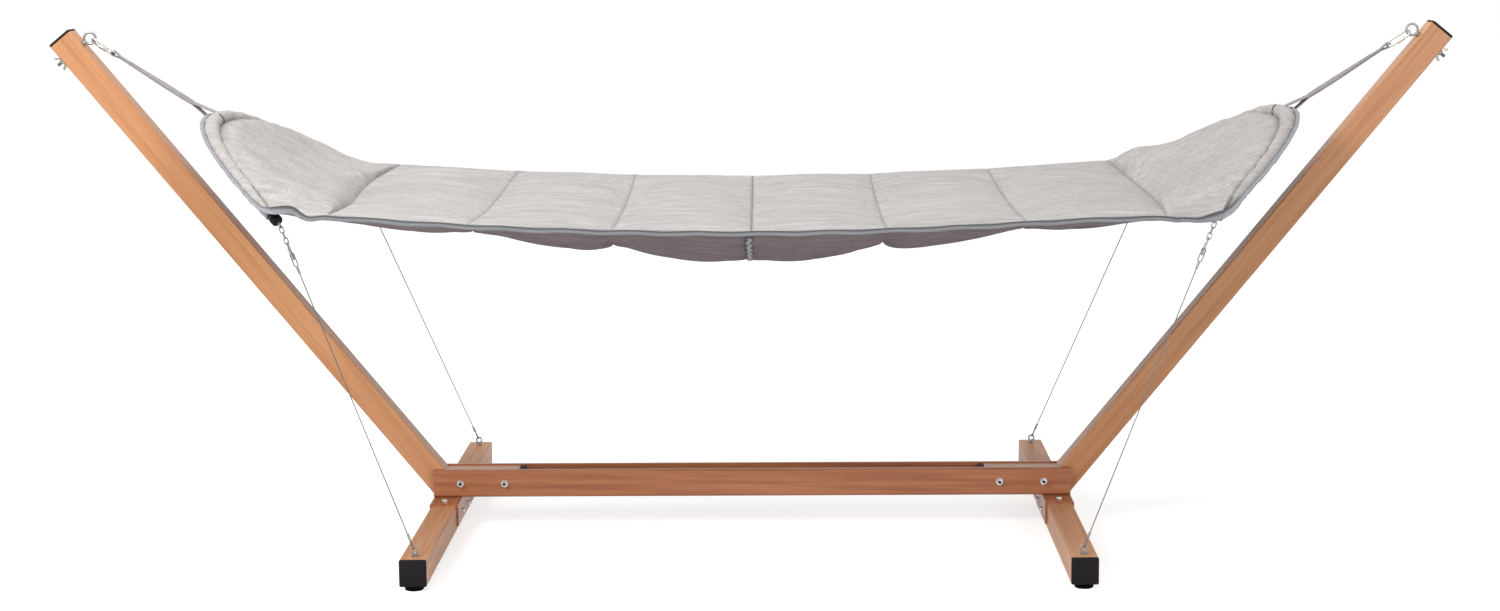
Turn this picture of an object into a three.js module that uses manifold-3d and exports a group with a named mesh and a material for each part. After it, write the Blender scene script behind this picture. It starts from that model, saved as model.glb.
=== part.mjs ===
// A quilted hammock bed slung between two inclined arms on a channel base
// Millimetres, +Z up, +X along the bed, the front is -Y, the origin lies on the floor under the middle

import * as THREE from 'three';
import { mergeVertices } from 'three/addons/utils/BufferGeometryUtils.js';
import Module from 'manifold-3d';

const wasm = await Module();
wasm.setup();

// Square tube of the arms and the feet
const tubeSide = 60;
const tubeWall = 3;
const tubeCorner = 3.5;
const seatGap = 0.3;
const overrun = 5;

// Feet across the stand
const footLength = 1320;
const footInset = 33;
const footClearance = 11;
const footCapThickness = 7;
const capPlugLength = 22;
const capPlugGap = 0.4;
const rubberDiameter = 42;
const rubberInset = 25;
const rubberChamfer = 3;
const rubberStudDiameter = 10;
const rubberStudLength = 9;

// Saddle plates between the feet and the base beam
const saddlePlate = 4;
const saddleLength = 230;
const saddleDrop = 50;

// Base beam, a channel folded so that each side wall is a narrow box
const beamLength = 1532;
const beamWidth = 90;
const beamHeight = 66;
const beamSheet = 3;
const beamCorner = 6;
const beamOpening = 61;
const beamHemRise = 6;

// Arms, each a stub in the channel and a long inclined tube
const armAngle = THREE.MathUtils.degToRad(50.8);
const armLength = 1388;
const stubLength = 190;
const armCapThickness = 6;
const stubCapThickness = 12;

// Through bolts that hold the stubs in the channel
const boltDiameter = 10;
const boltHeadDiameter = 16;
const boltHeadHeight = 10;
const boltSocketAcross = 8;
const boltSocketDepth = 5;
const boltNutAcross = 17;
const boltNutHeight = 8;
const boltTail = 3;
const outerBoltInset = 65;
const innerBoltInset = 171;

// Eye bolts through the arm tops, with wing nuts
const eyeFromTip = 45;
const eyeRingRadius = 13.5;
const eyeRod = 5.5;
const eyeStandoff = 20;
const eyeShank = 8;
const eyeCollarDiameter = 15;
const eyeCollarHeight = 3;
const eyeShankTail = 22;
const wingHubDiameter = 16;
const wingHubHeight = 9;
const wingSpan = 36;
const wingRise = 9;
const wingThickness = 3;
const wingBoreGap = 0.5;

// Eyes on the feet for the stays
const footEyeFromEnd = 38;
const footEyeRadius = 7;
const footEyeRod = 4;
const footEyeRise = 13;
const footEyeNeck = 5;
const footEyeShank = 8;
const footEyeShankLength = 12;
const footEyeFlangeDiameter = 16;
const footEyeFlangeHeight = 3;

// Spreader bows, arcs of tube that hold the ends of the bed open
const bowWidth = 1060;
const bowSagitta = 301.1;
const bowLeanAngle = THREE.MathUtils.degToRad(38.39);
const bowDiameter = 22.6;
const bowWall = 1.5;
const bowSteps = 20;
const bowCapDiameter = 26;
const bowCapLength = 16;
const bowCapPlug = 12;
const bowCapRound = 4;
const bowPlugGap = 1.4;

// Fabric sleeve round each bow
const sleeveDiameter = 40;
const sleeveClearance = 1.9;
const sleeveEndInset = 10;

// Hammock bed
const seamsPerSide = 3;
const noseRun = 114;
const bedWidth = 1120;
const bedEndAboveBow = 22;
const bedEndRise = 40;
const bedEdgeThickness = 8;
const topSag = 18;
const topCrown = 18;
const panelCells = 5;
const noseCells = 7;
const crossCells = 12;
const seamDepths = [110, 76, 50, 30];
const panelDepths = [118, 98, 72, 44];
const noseEndDepth = 8;
const cornerLift = 5;
const sleeveSeat = 0.2;

// Straps from the bed to the snap hooks, which with them reach from a bow's top to an eye ring
const pullLength = 357.25;
const pullAngle = THREE.MathUtils.degToRad(32.94);
const strapWidth = 28;
const strapThickness = 2.5;
const strapSplit = 72;
const strapGap = 1.2;
const strapEyeWidth = 10;
const strapEyeRadius = 8.5;
const strapEyeReach = 30;
const strapTaper = 22;

// Snap hooks in the eye rings
const hookLength = 61;
const hookSpacing = 20;
const hookRod = 5;
const hookTurn = THREE.MathUtils.degToRad(60);
const hookRingGap = 1.4;
const gateStart = 13;
const gateSleeveDiameter = 9;
const gateSleeveLength = 22;
const gateGap = 0.3;
const gatePivotGap = 1.2;

// Stays from the bow ends down to the feet
const eyeletDiameter = 18;
const eyeletRod = 3;
const eyeletDrop = 14;
const linkLength = 46;
const linkWidth = 12;
const linkRod = 3;
const stayHookLength = 43;
const stayHookWidth = 13;
const stayHookRod = 3;
const stayHookSleeveDiameter = 6;
const stayHookSleeveLength = 16;
const stayWireDiameter = 2.4;
const stayLoopWidth = 11;
const stayLoopLength = 34;
const stayFootLoopLength = 22;
const ferruleDiameter = 6;
const ferruleLength = 16;
const linkPlay = 0.9;

// Webbing band under the middle seam
const bandWidth = 16;
const bandThickness = 3;
const bandGap = 2.2;

const rodFlatShare = Math.tan(Math.PI / 8);
const roundSides = 12;
const holeSides = 8;
const holeGap = 0.8;

const halfTube = tubeSide / 2;
const footTop = footClearance + tubeSide;
const saddleTop = footTop + seatGap + saddlePlate;
const beamBottom = saddleTop + seatGap;
const stubBottom = beamBottom + beamSheet + seatGap;
const stubCentre = stubBottom + halfTube;
const beamEnd = beamLength / 2;
const footX = beamEnd - footInset;
const outerBoltX = beamEnd - outerBoltInset;
const innerBoltX = beamEnd - innerBoltInset;

// Place of the bend: the outer lower corner of the mitre lies flush with the beam's end
const mitreReach = halfTube * Math.tan(armAngle / 2);
const bendX = beamEnd - mitreReach;

const X = new THREE.Vector3(1, 0, 0);
const Y = new THREE.Vector3(0, 1, 0);
const Z = new THREE.Vector3(0, 0, 1);

function vector(x, y, z) {
  return new THREE.Vector3(x, y, z);
}

// Solids for joins and cuts
function toSolid(geometry) {
  const plain = geometry.clone();
  plain.deleteAttribute('normal');
  plain.deleteAttribute('uv');
  const merged = mergeVertices(plain, 1e-4);
  return new wasm.Manifold(new wasm.Mesh({
    numProp: 3,
    vertProperties: new Float32Array(merged.attributes.position.array),
    triVerts: new Uint32Array(merged.index.array),
  }));
}

function toGeometry(body) {
  const mesh = body.getMesh();
  const geometry = new THREE.BufferGeometry();
  geometry.setAttribute('position', new THREE.BufferAttribute(mesh.vertProperties, 3));
  geometry.setIndex(new THREE.BufferAttribute(mesh.triVerts, 1));
  geometry.computeVertexNormals();
  return geometry;
}

function join(first, ...others) {
  let body = toSolid(first);
  for (const other of others) {
    body = body.add(toSolid(other));
  }
  return toGeometry(body);
}

function cut(first, ...others) {
  let body = toSolid(first);
  for (const other of others) {
    body = body.subtract(toSolid(other));
  }
  return toGeometry(body);
}

// A geometry moved so that its own x, y and z run along three given directions
function placed(geometry, origin, xAxis, yAxis) {
  const zAxis = xAxis.clone().cross(yAxis).normalize();
  const matrix = new THREE.Matrix4().makeBasis(xAxis, yAxis, zAxis);
  matrix.setPosition(origin);
  return geometry.clone().applyMatrix4(matrix);
}

// A straight round bar between two points
function bar(from, to, diameter, sides = roundSides) {
  const along = to.clone().sub(from);
  const geometry = new THREE.CylinderGeometry(diameter / 2, diameter / 2, along.length(), sides);
  const turn = new THREE.Quaternion().setFromUnitVectors(Y, along.clone().normalize());
  geometry.applyQuaternion(turn);
  const middle = from.clone().add(to).multiplyScalar(0.5);
  return geometry.translate(middle.x, middle.y, middle.z);
}

function hexBar(from, to, across) {
  return bar(from, to, across / Math.cos(Math.PI / 6), 6);
}

// A round wire bent flat: an outline of the wire's flat, swelled by a bevel to eight sides
function bentWire(shape, rod, segments) {
  const flat = rod * rodFlatShare;
  const swell = (rod - flat) / 2;
  const geometry = new THREE.ExtrudeGeometry(shape, {
    depth: flat,
    bevelEnabled: true,
    bevelThickness: swell,
    bevelSize: swell,
    bevelSegments: 1,
    curveSegments: segments,
  });
  return geometry.translate(0, 0, -flat / 2);
}

function stadium(target, length, width) {
  const radius = width / 2;
  const reach = length / 2 - radius;
  target.moveTo(reach, -radius);
  target.absarc(reach, 0, radius, -Math.PI / 2, Math.PI / 2, false);
  target.lineTo(-reach, radius);
  target.absarc(-reach, 0, radius, Math.PI / 2, Math.PI * 1.5, false);
  target.lineTo(reach, -radius);
  return target;
}

// A closed link that lies in its own x and y, its length along x, measured over the outside
function link(length, width, rod, segments = 3) {
  const flat = rod * rodFlatShare;
  const middleLength = length - rod;
  const middleWidth = width - rod;
  const shape = stadium(new THREE.Shape(), middleLength + flat, middleWidth + flat);
  shape.holes.push(stadium(new THREE.Path(), middleLength - flat, middleWidth - flat));
  return bentWire(shape, rod, segments);
}

function ring(radius, rod, segments = 6) {
  const flat = rod * rodFlatShare;
  const shape = new THREE.Shape();
  shape.absarc(0, 0, radius + flat / 2, 0, Math.PI * 2, false);
  const hole = new THREE.Path();
  hole.absarc(0, 0, radius - flat / 2, 0, Math.PI * 2, true);
  shape.holes.push(hole);
  return bentWire(shape, rod, segments);
}

// Points round a square with rounded corners, in order
function roundedSquare(side, corner, steps = 3) {
  const points = [];
  const reach = side / 2 - corner;
  for (let quarter = 0; quarter < 4; quarter += 1) {
    const centreX = quarter === 0 || quarter === 3 ? reach : -reach;
    const centreY = quarter < 2 ? reach : -reach;
    for (let step = 0; step <= steps; step += 1) {
      const angle = (quarter + step / steps) * Math.PI / 2;
      points.push([centreX + corner * Math.cos(angle), centreY + corner * Math.sin(angle)]);
    }
  }
  return points;
}

function squareShape(side, corner) {
  const shape = new THREE.Shape();
  roundedSquare(side, corner).forEach(([x, y], index) => {
    if (index === 0) {
      shape.moveTo(x, y);
    } else {
      shape.lineTo(x, y);
    }
  });
  return shape;
}

// A square tube along a bent line in the XZ plane, mitred at each bend, open at both ends
function mitredTube(line, side, corner, wall) {
  const rings = [roundedSquare(side, corner), roundedSquare(side - 2 * wall, corner - wall)];
  const count = rings[0].length;
  const positions = [];
  line.forEach((point, index) => {
    const before = line[Math.max(index - 1, 0)];
    const after = line[Math.min(index + 1, line.length - 1)];
    const into = point.clone().sub(before).normalize();
    const out = after.clone().sub(point).normalize();
    const along = into.lengthSq() === 0 ? out : into;
    const leaving = out.lengthSq() === 0 ? along : out;
    const across = along.clone().add(leaving).normalize();
    const normal = vector(-across.z, 0, across.x);
    const stretch = 1 / across.dot(along);
    for (const section of rings) {
      for (const [height, depth] of section) {
        positions.push(
          point.x + normal.x * height * stretch,
          point.y - depth,
          point.z + normal.z * height * stretch,
        );
      }
    }
  });
  const triangles = [];
  const quad = (a, b, c, d) => triangles.push(a, b, c, a, c, d);
  for (let corner1 = 0; corner1 < count; corner1 += 1) {
    const corner2 = (corner1 + 1) % count;
    for (let row = 0; row + 1 < line.length; row += 1) {
      const start = row * 2 * count;
      const next = start + 2 * count;
      quad(start + corner1, start + corner2, next + corner2, next + corner1);
      quad(start + count + corner2, start + count + corner1, next + count + corner1, next + count + corner2);
    }
    const last = (line.length - 1) * 2 * count;
    quad(corner2, corner1, count + corner1, count + corner2);
    quad(last + corner1, last + corner2, last + count + corner2, last + count + corner1);
  }
  const geometry = new THREE.BufferGeometry();
  geometry.setAttribute('position', new THREE.Float32BufferAttribute(positions, 3));
  geometry.setIndex(triangles);
  geometry.computeVertexNormals();
  return geometry;
}

// Finishes
const finishes = {
  wood: { color: 0xb8764c, roughness: 0.5, metalness: 0.1 },
  steel: { color: 0xc4c4c2, roughness: 0.3, metalness: 0.9 },
  black: { color: 0x1c1c1e, roughness: 0.6, metalness: 0 },
  rubber: { color: 0x141414, roughness: 0.85, metalness: 0 },
  fabric: { color: 0xd8d2cf, roughness: 0.95, metalness: 0 },
  binding: { color: 0xa0a0a8, roughness: 0.9, metalness: 0 },
  webbing: { color: 0x9c969a, roughness: 0.9, metalness: 0 },
};

const hammock = new THREE.Group();

function piece(name, geometry, finish, parent = hammock) {
  const mesh = new THREE.Mesh(geometry, new THREE.MeshStandardMaterial(finishes[finish]));
  mesh.name = name;
  parent.add(mesh);
  return mesh;
}

// The right half is modelled and the left half is the same turned half a turn about Z
const ends = [
  { name: 'right', turn: 0 },
  { name: 'left', turn: Math.PI },
];

function halfStand(turn) {
  const group = new THREE.Group();
  group.rotation.z = turn;
  hammock.add(group);
  return group;
}

const endGroups = ends.map((end) => halfStand(end.turn));

// Outline of the folded channel, seen along X
function beamOutline() {
  const outer = beamWidth / 2;
  const inner = beamOpening / 2;
  const top = beamHeight;
  const sheet = beamSheet;
  const bend = beamCorner;
  const innerBend = beamCorner - beamSheet;
  const hem = beamSheet + beamHemRise;
  const shape = new THREE.Shape();
  shape.moveTo(-outer + bend, 0);
  shape.lineTo(outer - bend, 0);
  shape.absarc(outer - bend, bend, bend, -Math.PI / 2, 0, false);
  shape.lineTo(outer, top - bend);
  shape.absarc(outer - bend, top - bend, bend, 0, Math.PI / 2, false);
  shape.lineTo(inner, top);
  shape.lineTo(inner, hem);
  shape.lineTo(inner + sheet, hem);
  shape.lineTo(inner + sheet, top - sheet);
  shape.lineTo(outer - bend, top - sheet);
  shape.absarc(outer - bend, top - bend, innerBend, Math.PI / 2, 0, true);
  shape.lineTo(outer - sheet, bend);
  shape.absarc(outer - bend, bend, innerBend, 0, -Math.PI / 2, true);
  shape.lineTo(-outer + bend, sheet);
  shape.absarc(-outer + bend, bend, innerBend, -Math.PI / 2, -Math.PI, true);
  shape.lineTo(-outer + sheet, top - bend);
  shape.absarc(-outer + bend, top - bend, innerBend, Math.PI, Math.PI / 2, true);
  shape.lineTo(-inner - sheet, top - sheet);
  shape.lineTo(-inner - sheet, hem);
  shape.lineTo(-inner, hem);
  shape.lineTo(-inner, top);
  shape.lineTo(-outer + bend, top);
  shape.absarc(-outer + bend, top - bend, bend, Math.PI / 2, Math.PI, false);
  shape.lineTo(-outer, bend);
  shape.absarc(-outer + bend, bend, bend, Math.PI, Math.PI * 1.5, false);
  return shape;
}

const boltPlaces = [outerBoltX, innerBoltX, -innerBoltX, -outerBoltX];

function boltHoles(places, reach) {
  const diameter = boltDiameter + 2 * holeGap;
  return places.map((x) => bar(vector(x, -reach, stubCentre), vector(x, reach, stubCentre), diameter, holeSides));
}

function baseBeam() {
  const length = beamLength;
  const blank = new THREE.ExtrudeGeometry(beamOutline(), { depth: length, bevelEnabled: false, curveSegments: 3 });
  const beam = placed(blank, vector(-length / 2, 0, beamBottom), Y, Z);
  return cut(beam, ...boltHoles(boltPlaces, beamWidth / 2 + overrun));
}

// Directions of the arm: along it, and square to it on the outer side
const armAlong = vector(Math.cos(armAngle), 0, Math.sin(armAngle));
const armOut = vector(Math.sin(armAngle), 0, -Math.cos(armAngle));
const armBend = vector(bendX, 0, stubCentre);
const armTip = armBend.clone().addScaledVector(armAlong, armLength - armCapThickness);
const stubEnd = armBend.clone().addScaledVector(X, -stubLength);
const eyeAxis = armBend.clone().addScaledVector(armAlong, armLength - eyeFromTip);
const ringCentre = eyeAxis.clone().addScaledVector(armOut, -halfTube - eyeStandoff);

function arm() {
  const tube = mitredTube([stubEnd, armBend, armTip], tubeSide, tubeCorner, tubeWall);
  const reach = halfTube + overrun;
  const from = eyeAxis.clone().addScaledVector(armOut, -reach);
  const to = eyeAxis.clone().addScaledVector(armOut, reach);
  const eyeHole = bar(from, to, eyeShank + 2 * holeGap, holeSides);
  return cut(tube, eyeHole, ...boltHoles([outerBoltX, innerBoltX], reach));
}

// A square cap with a plug, its face at the origin and its plug along +z
function squareCap(thickness, plugLength) {
  const plugSide = tubeSide - 2 * tubeWall - 2 * capPlugGap;
  const flange = new THREE.ExtrudeGeometry(squareShape(tubeSide, tubeCorner), { depth: thickness, bevelEnabled: false });
  const plugDepth = plugLength + thickness / 2;
  const plug = new THREE.ExtrudeGeometry(squareShape(plugSide, tubeCorner), { depth: plugDepth, bevelEnabled: false });
  return join(flange, plug.translate(0, 0, thickness / 2));
}

function footBar() {
  const tubeLength = footLength - 2 * (footCapThickness + seatGap);
  const shape = squareShape(tubeSide, tubeCorner);
  shape.holes.push(squareShape(tubeSide - 2 * tubeWall, tubeCorner - tubeWall));
  const blank = new THREE.ExtrudeGeometry(shape, { depth: tubeLength, bevelEnabled: false });
  const tube = placed(blank, vector(footX, -tubeLength / 2, footClearance + halfTube), Z, X);
  const holes = [];
  for (const side of [-1, 1]) {
    const eyeY = side * (footLength / 2 - footEyeFromEnd);
    const studY = side * (footLength / 2 - rubberInset);
    const above = footTop + overrun;
    const below = footClearance - overrun;
    const middle = footClearance + halfTube;
    holes.push(bar(vector(footX, eyeY, middle), vector(footX, eyeY, above), footEyeShank + 2 * holeGap, holeSides));
    holes.push(bar(vector(footX, studY, below), vector(footX, studY, middle), rubberStudDiameter + 2 * holeGap, holeSides));
  }
  return cut(tube, ...holes);
}

function footCap(side) {
  const face = vector(footX, side * footLength / 2, footClearance + halfTube);
  const plugHeight = capPlugLength;
  const cap = side < 0
    ? placed(squareCap(footCapThickness, plugHeight), face, Z, X)
    : placed(squareCap(footCapThickness, plugHeight), face, X, Z);
  const studY = side * (footLength / 2 - rubberInset);
  const eyeY = side * (footLength / 2 - footEyeFromEnd);
  const studWay = bar(
    vector(footX, studY, footClearance - overrun),
    vector(footX, studY, footClearance + tubeWall + rubberStudLength + overrun),
    rubberStudDiameter + 2 * holeGap,
    holeSides,
  );
  const eyeWay = bar(
    vector(footX, eyeY, footTop + overrun),
    vector(footX, eyeY, footTop - footEyeShankLength - overrun),
    footEyeShank + 2 * holeGap,
    holeSides,
  );
  return cut(cap, studWay, eyeWay);
}

// A round foot turned about its stud
function rubberFoot(side) {
  const radius = rubberDiameter / 2;
  const top = footClearance - seatGap;
  const stud = rubberStudDiameter / 2;
  const studTop = footClearance + rubberStudLength;
  const profile = [
    [0, 0],
    [radius - rubberChamfer, 0],
    [radius, rubberChamfer],
    [radius, top],
    [stud, top],
    [stud, studTop],
    [0, studTop],
  ].map(([x, y]) => new THREE.Vector2(x, y));
  const geometry = new THREE.LatheGeometry(profile, roundSides).rotateX(Math.PI / 2);
  return geometry.translate(footX, side * (footLength / 2 - rubberInset), 0);
}

// The saddle, an upside-down U folded over the foot, seen along Y
function saddle() {
  const inside = halfTube + seatGap;
  const outside = inside + saddlePlate;
  const low = footTop - saddleDrop;
  const roof = footTop + seatGap;
  const shape = new THREE.Shape();
  shape.moveTo(-outside, low);
  shape.lineTo(-inside, low);
  shape.lineTo(-inside, roof);
  shape.lineTo(inside, roof);
  shape.lineTo(inside, low);
  shape.lineTo(outside, low);
  shape.lineTo(outside, saddleTop - saddlePlate);
  shape.absarc(outside - saddlePlate, saddleTop - saddlePlate, saddlePlate, 0, Math.PI / 2, false);
  shape.lineTo(-outside + saddlePlate, saddleTop);
  shape.absarc(-outside + saddlePlate, saddleTop - saddlePlate, saddlePlate, Math.PI / 2, Math.PI, false);
  const blank = new THREE.ExtrudeGeometry(shape, { depth: saddleLength, bevelEnabled: false, curveSegments: 3 });
  return blank.rotateX(Math.PI / 2).translate(footX, saddleLength / 2, 0);
}

// A socket-head bolt across the channel, with its nut behind
function beamBolt(x) {
  const face = beamWidth / 2 + seatGap;
  const at = (y) => vector(x, y, stubCentre);
  const head = bar(at(-face - boltHeadHeight), at(-face), boltHeadDiameter);
  const tail = face + boltNutHeight + boltTail;
  const shank = bar(at(-face - boltHeadHeight / 2), at(tail), boltDiameter);
  const nut = hexBar(at(face), at(face + boltNutHeight), boltNutAcross);
  const socket = hexBar(at(-face - boltHeadHeight - overrun), at(-face - boltHeadHeight + boltSocketDepth), boltSocketAcross);
  return cut(join(head, shank, nut), socket);
}

function topEyeBolt() {
  const wire = placed(ring(eyeRingRadius, eyeRod), ringCentre, X, Z);
  const face = -halfTube - seatGap;
  const at = (distance) => eyeAxis.clone().addScaledVector(armOut, distance);
  const ringEdge = -halfTube - eyeStandoff + eyeRingRadius;
  const shankEnd = halfTube + eyeShankTail;
  const shank = bar(at(ringEdge), at(shankEnd), eyeShank, 12);
  const collar = bar(at(face - eyeCollarHeight), at(face), eyeCollarDiameter);
  return join(wire, shank, collar);
}

// A wing nut about +z, its seat at the origin
function wingNut() {
  const hub = new THREE.CylinderGeometry(wingHubDiameter / 2, wingHubDiameter / 2, wingHubHeight, roundSides)
    .rotateX(Math.PI / 2)
    .translate(0, 0, wingHubHeight / 2);
  const shape = new THREE.Shape();
  const hubEdge = wingHubDiameter / 2;
  const inner = hubEdge / 2;
  shape.moveTo(inner, wingHubHeight / 4);
  shape.lineTo(hubEdge, wingHubHeight / 4);
  shape.lineTo(wingSpan / 2, wingHubHeight);
  shape.lineTo(wingSpan / 2 - wingThickness, wingHubHeight + wingRise);
  shape.lineTo(hubEdge, wingHubHeight);
  shape.lineTo(inner, wingHubHeight * 0.75);
  const blade = new THREE.ExtrudeGeometry(shape, { depth: wingThickness, bevelEnabled: false })
    .translate(0, 0, -wingThickness / 2)
    .rotateX(Math.PI / 2);
  const otherBlade = blade.clone().rotateZ(Math.PI);
  const boreRadius = eyeShank / 2 + wingBoreGap;
  const bore = new THREE.CylinderGeometry(boreRadius, boreRadius, wingHubHeight + 2 * overrun, roundSides)
    .rotateX(Math.PI / 2)
    .translate(0, 0, wingHubHeight / 2);
  return cut(join(hub, blade, otherBlade), bore);
}

function footEye(side) {
  const y = side * (footLength / 2 - footEyeFromEnd);
  const ringMiddle = footTop + footEyeRise;
  const wire = placed(ring(footEyeRadius, footEyeRod, 5), vector(footX, y, ringMiddle), X, Z);
  const seat = footTop + seatGap;
  const flangeTop = seat + footEyeFlangeHeight;
  const flange = bar(vector(footX, y, seat), vector(footX, y, flangeTop), footEyeFlangeDiameter);
  const shankBottom = footTop - footEyeShankLength;
  const shank = bar(vector(footX, y, shankBottom), vector(footX, y, flangeTop), footEyeShank, holeSides);
  const neck = bar(vector(footX, y, seat), vector(footX, y, ringMiddle - footEyeRadius), footEyeNeck, holeSides);
  return join(wire, flange, shank, neck);
}

endGroups.forEach((group, index) => {
  const name = ends[index].name;
  piece(`arm_${name}`, arm(), 'wood', group);
  const capFace = armTip.clone().addScaledVector(armAlong, armCapThickness + seatGap);
  const armCap = squareCap(armCapThickness, capPlugLength / 2);
  piece(`arm_cap_${name}`, placed(armCap, capFace, Y, armOut), 'black', group);
  const stubFace = stubEnd.clone().addScaledVector(X, -stubCapThickness - seatGap);
  piece(`stub_cap_${name}`, placed(squareCap(stubCapThickness, capPlugLength), stubFace, Y, Z), 'black', group);
  piece(`foot_bar_${name}`, footBar(), 'wood', group);
  piece(`saddle_${name}`, saddle(), 'wood', group);
  for (const [end, side] of [['front', -1], ['back', 1]]) {
    const realEnd = index === 0 ? end : (end === 'front' ? 'back' : 'front');
    piece(`foot_cap_${name}_${realEnd}`, footCap(side), 'black', group);
    piece(`rubber_foot_${name}_${realEnd}`, rubberFoot(side), 'rubber', group);
    piece(`foot_eye_${name}_${realEnd}`, footEye(side), 'steel', group);
  }
  piece(`top_eye_bolt_${name}`, topEyeBolt(), 'steel', group);
  const nutSeat = eyeAxis.clone().addScaledVector(armOut, halfTube + seatGap);
  piece(`wing_nut_${name}`, placed(wingNut(), nutSeat, armAlong, Y.clone().negate()), 'steel', group);
});

piece('base_beam', baseBeam(), 'wood');
boltPlaces.forEach((x) => {
  const end = x > 0 ? 'right' : 'left';
  const place = Math.abs(x) === outerBoltX ? 'outer' : 'inner';
  piece(`beam_bolt_${end}_${place}`, beamBolt(x), 'steel');
});

// The line from a bow's apex to its eye ring, which the strap and the snap hook follow
const pullAlong = vector(Math.cos(pullAngle), 0, Math.sin(pullAngle));
const pullUp = vector(-pullAlong.z, 0, pullAlong.x);
const apex = ringCentre.clone().addScaledVector(pullAlong, -pullLength);

// The arc of a spreader bow: its plane is tilted, rising from the two ends to the apex
const bowLean = vector(Math.cos(bowLeanAngle), 0, Math.sin(bowLeanAngle));
const bowUp = vector(-bowLean.z, 0, bowLean.x);
const bowEndY = bowWidth / 2;
const bowEnd = apex.clone().addScaledVector(bowLean, -bowSagitta);
const bowRadius = (bowEndY ** 2 + bowSagitta ** 2) / (2 * bowSagitta);
const bowCentre = apex.clone().addScaledVector(bowLean, -bowRadius);
const bowHalfAngle = Math.asin(bowEndY / bowRadius);

function bowRadial(angle) {
  return bowLean.clone().multiplyScalar(Math.cos(angle)).addScaledVector(Y, Math.sin(angle));
}

function bowTangent(angle) {
  return bowLean.clone().multiplyScalar(-Math.sin(angle)).addScaledVector(Y, Math.cos(angle));
}

function bowPoint(angle) {
  return bowCentre.clone().addScaledVector(bowRadial(angle), bowRadius);
}

class BowArc extends THREE.Curve {
  constructor(reach) {
    super();
    this.reach = reach;
  }

  getPoint(share) {
    return bowPoint(-this.reach + 2 * this.reach * share);
  }
}

// A round tube along the bow's arc
function bowTube(outer, inner, reach, segments) {
  const shape = new THREE.Shape();
  shape.absarc(0, 0, outer / 2, 0, Math.PI * 2, false);
  const hole = new THREE.Path();
  hole.absarc(0, 0, inner / 2, 0, Math.PI * 2, true);
  shape.holes.push(hole);
  return new THREE.ExtrudeGeometry(shape, {
    steps: bowSteps,
    extrudePath: new BowArc(reach),
    curveSegments: segments,
    bevelEnabled: false,
  });
}

const bowCapAngle = bowCapLength / bowRadius;
const bowReach = bowHalfAngle - bowCapAngle;
const sleeveReach = bowReach - (sleeveEndInset + seatGap) / bowRadius;

// Directions of a stay, from the eye on its foot to the eyelet under its bow end
function stayFrame(side) {
  const footY = side * (footLength / 2 - footEyeFromEnd);
  const ringMiddle = vector(footX, footY, footTop + footEyeRise);
  const capEnd = bowPoint(side * bowHalfAngle);
  const eyelet = capEnd.clone().addScaledVector(ringMiddle.clone().sub(capEnd).normalize(), eyeletDrop);
  const lean = vector(eyelet.x - ringMiddle.x, 0, eyelet.z - ringMiddle.z).normalize();
  const ringTop = ringMiddle.clone().addScaledVector(lean, footEyeRadius);
  const along = eyelet.clone().sub(ringTop).normalize();
  const across = Y.clone().cross(along).normalize();
  const depth = along.clone().cross(across).normalize();
  return { ringTop, capEnd, eyelet, along, across, depth };
}

// A rounded cap on the bow's end, with an eyelet that the stay's link hangs in
function bowCap(side) {
  const reach = side * bowReach;
  const face = bowPoint(reach);
  const out = bowTangent(reach).multiplyScalar(side);
  const radius = bowCapDiameter / 2;
  const plug = bowDiameter / 2 - bowWall - bowPlugGap;
  const start = seatGap;
  const finish = bowCapLength;
  const round = bowCapRound;
  const chord = round * Math.SQRT1_2;
  const profile = [
    [0, -bowCapPlug],
    [plug, -bowCapPlug],
    [plug, start],
    [radius, start],
    [radius, finish - round],
    [radius - round + chord, finish - round + chord],
    [radius - round, finish],
    [0, finish],
  ].map(([x, y]) => new THREE.Vector2(x, y));
  const geometry = new THREE.LatheGeometry(profile, 10);
  geometry.applyQuaternion(new THREE.Quaternion().setFromUnitVectors(Y, out));
  geometry.translate(face.x, face.y, face.z);
  const frame = stayFrame(side);
  const radiusOfWire = (eyeletDiameter - eyeletRod) / 2;
  const middle = frame.eyelet.clone().addScaledVector(frame.along, radiusOfWire);
  const wire = placed(ring(radiusOfWire, eyeletRod, 4), middle, frame.along, frame.depth);
  return join(geometry, wire);
}

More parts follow.
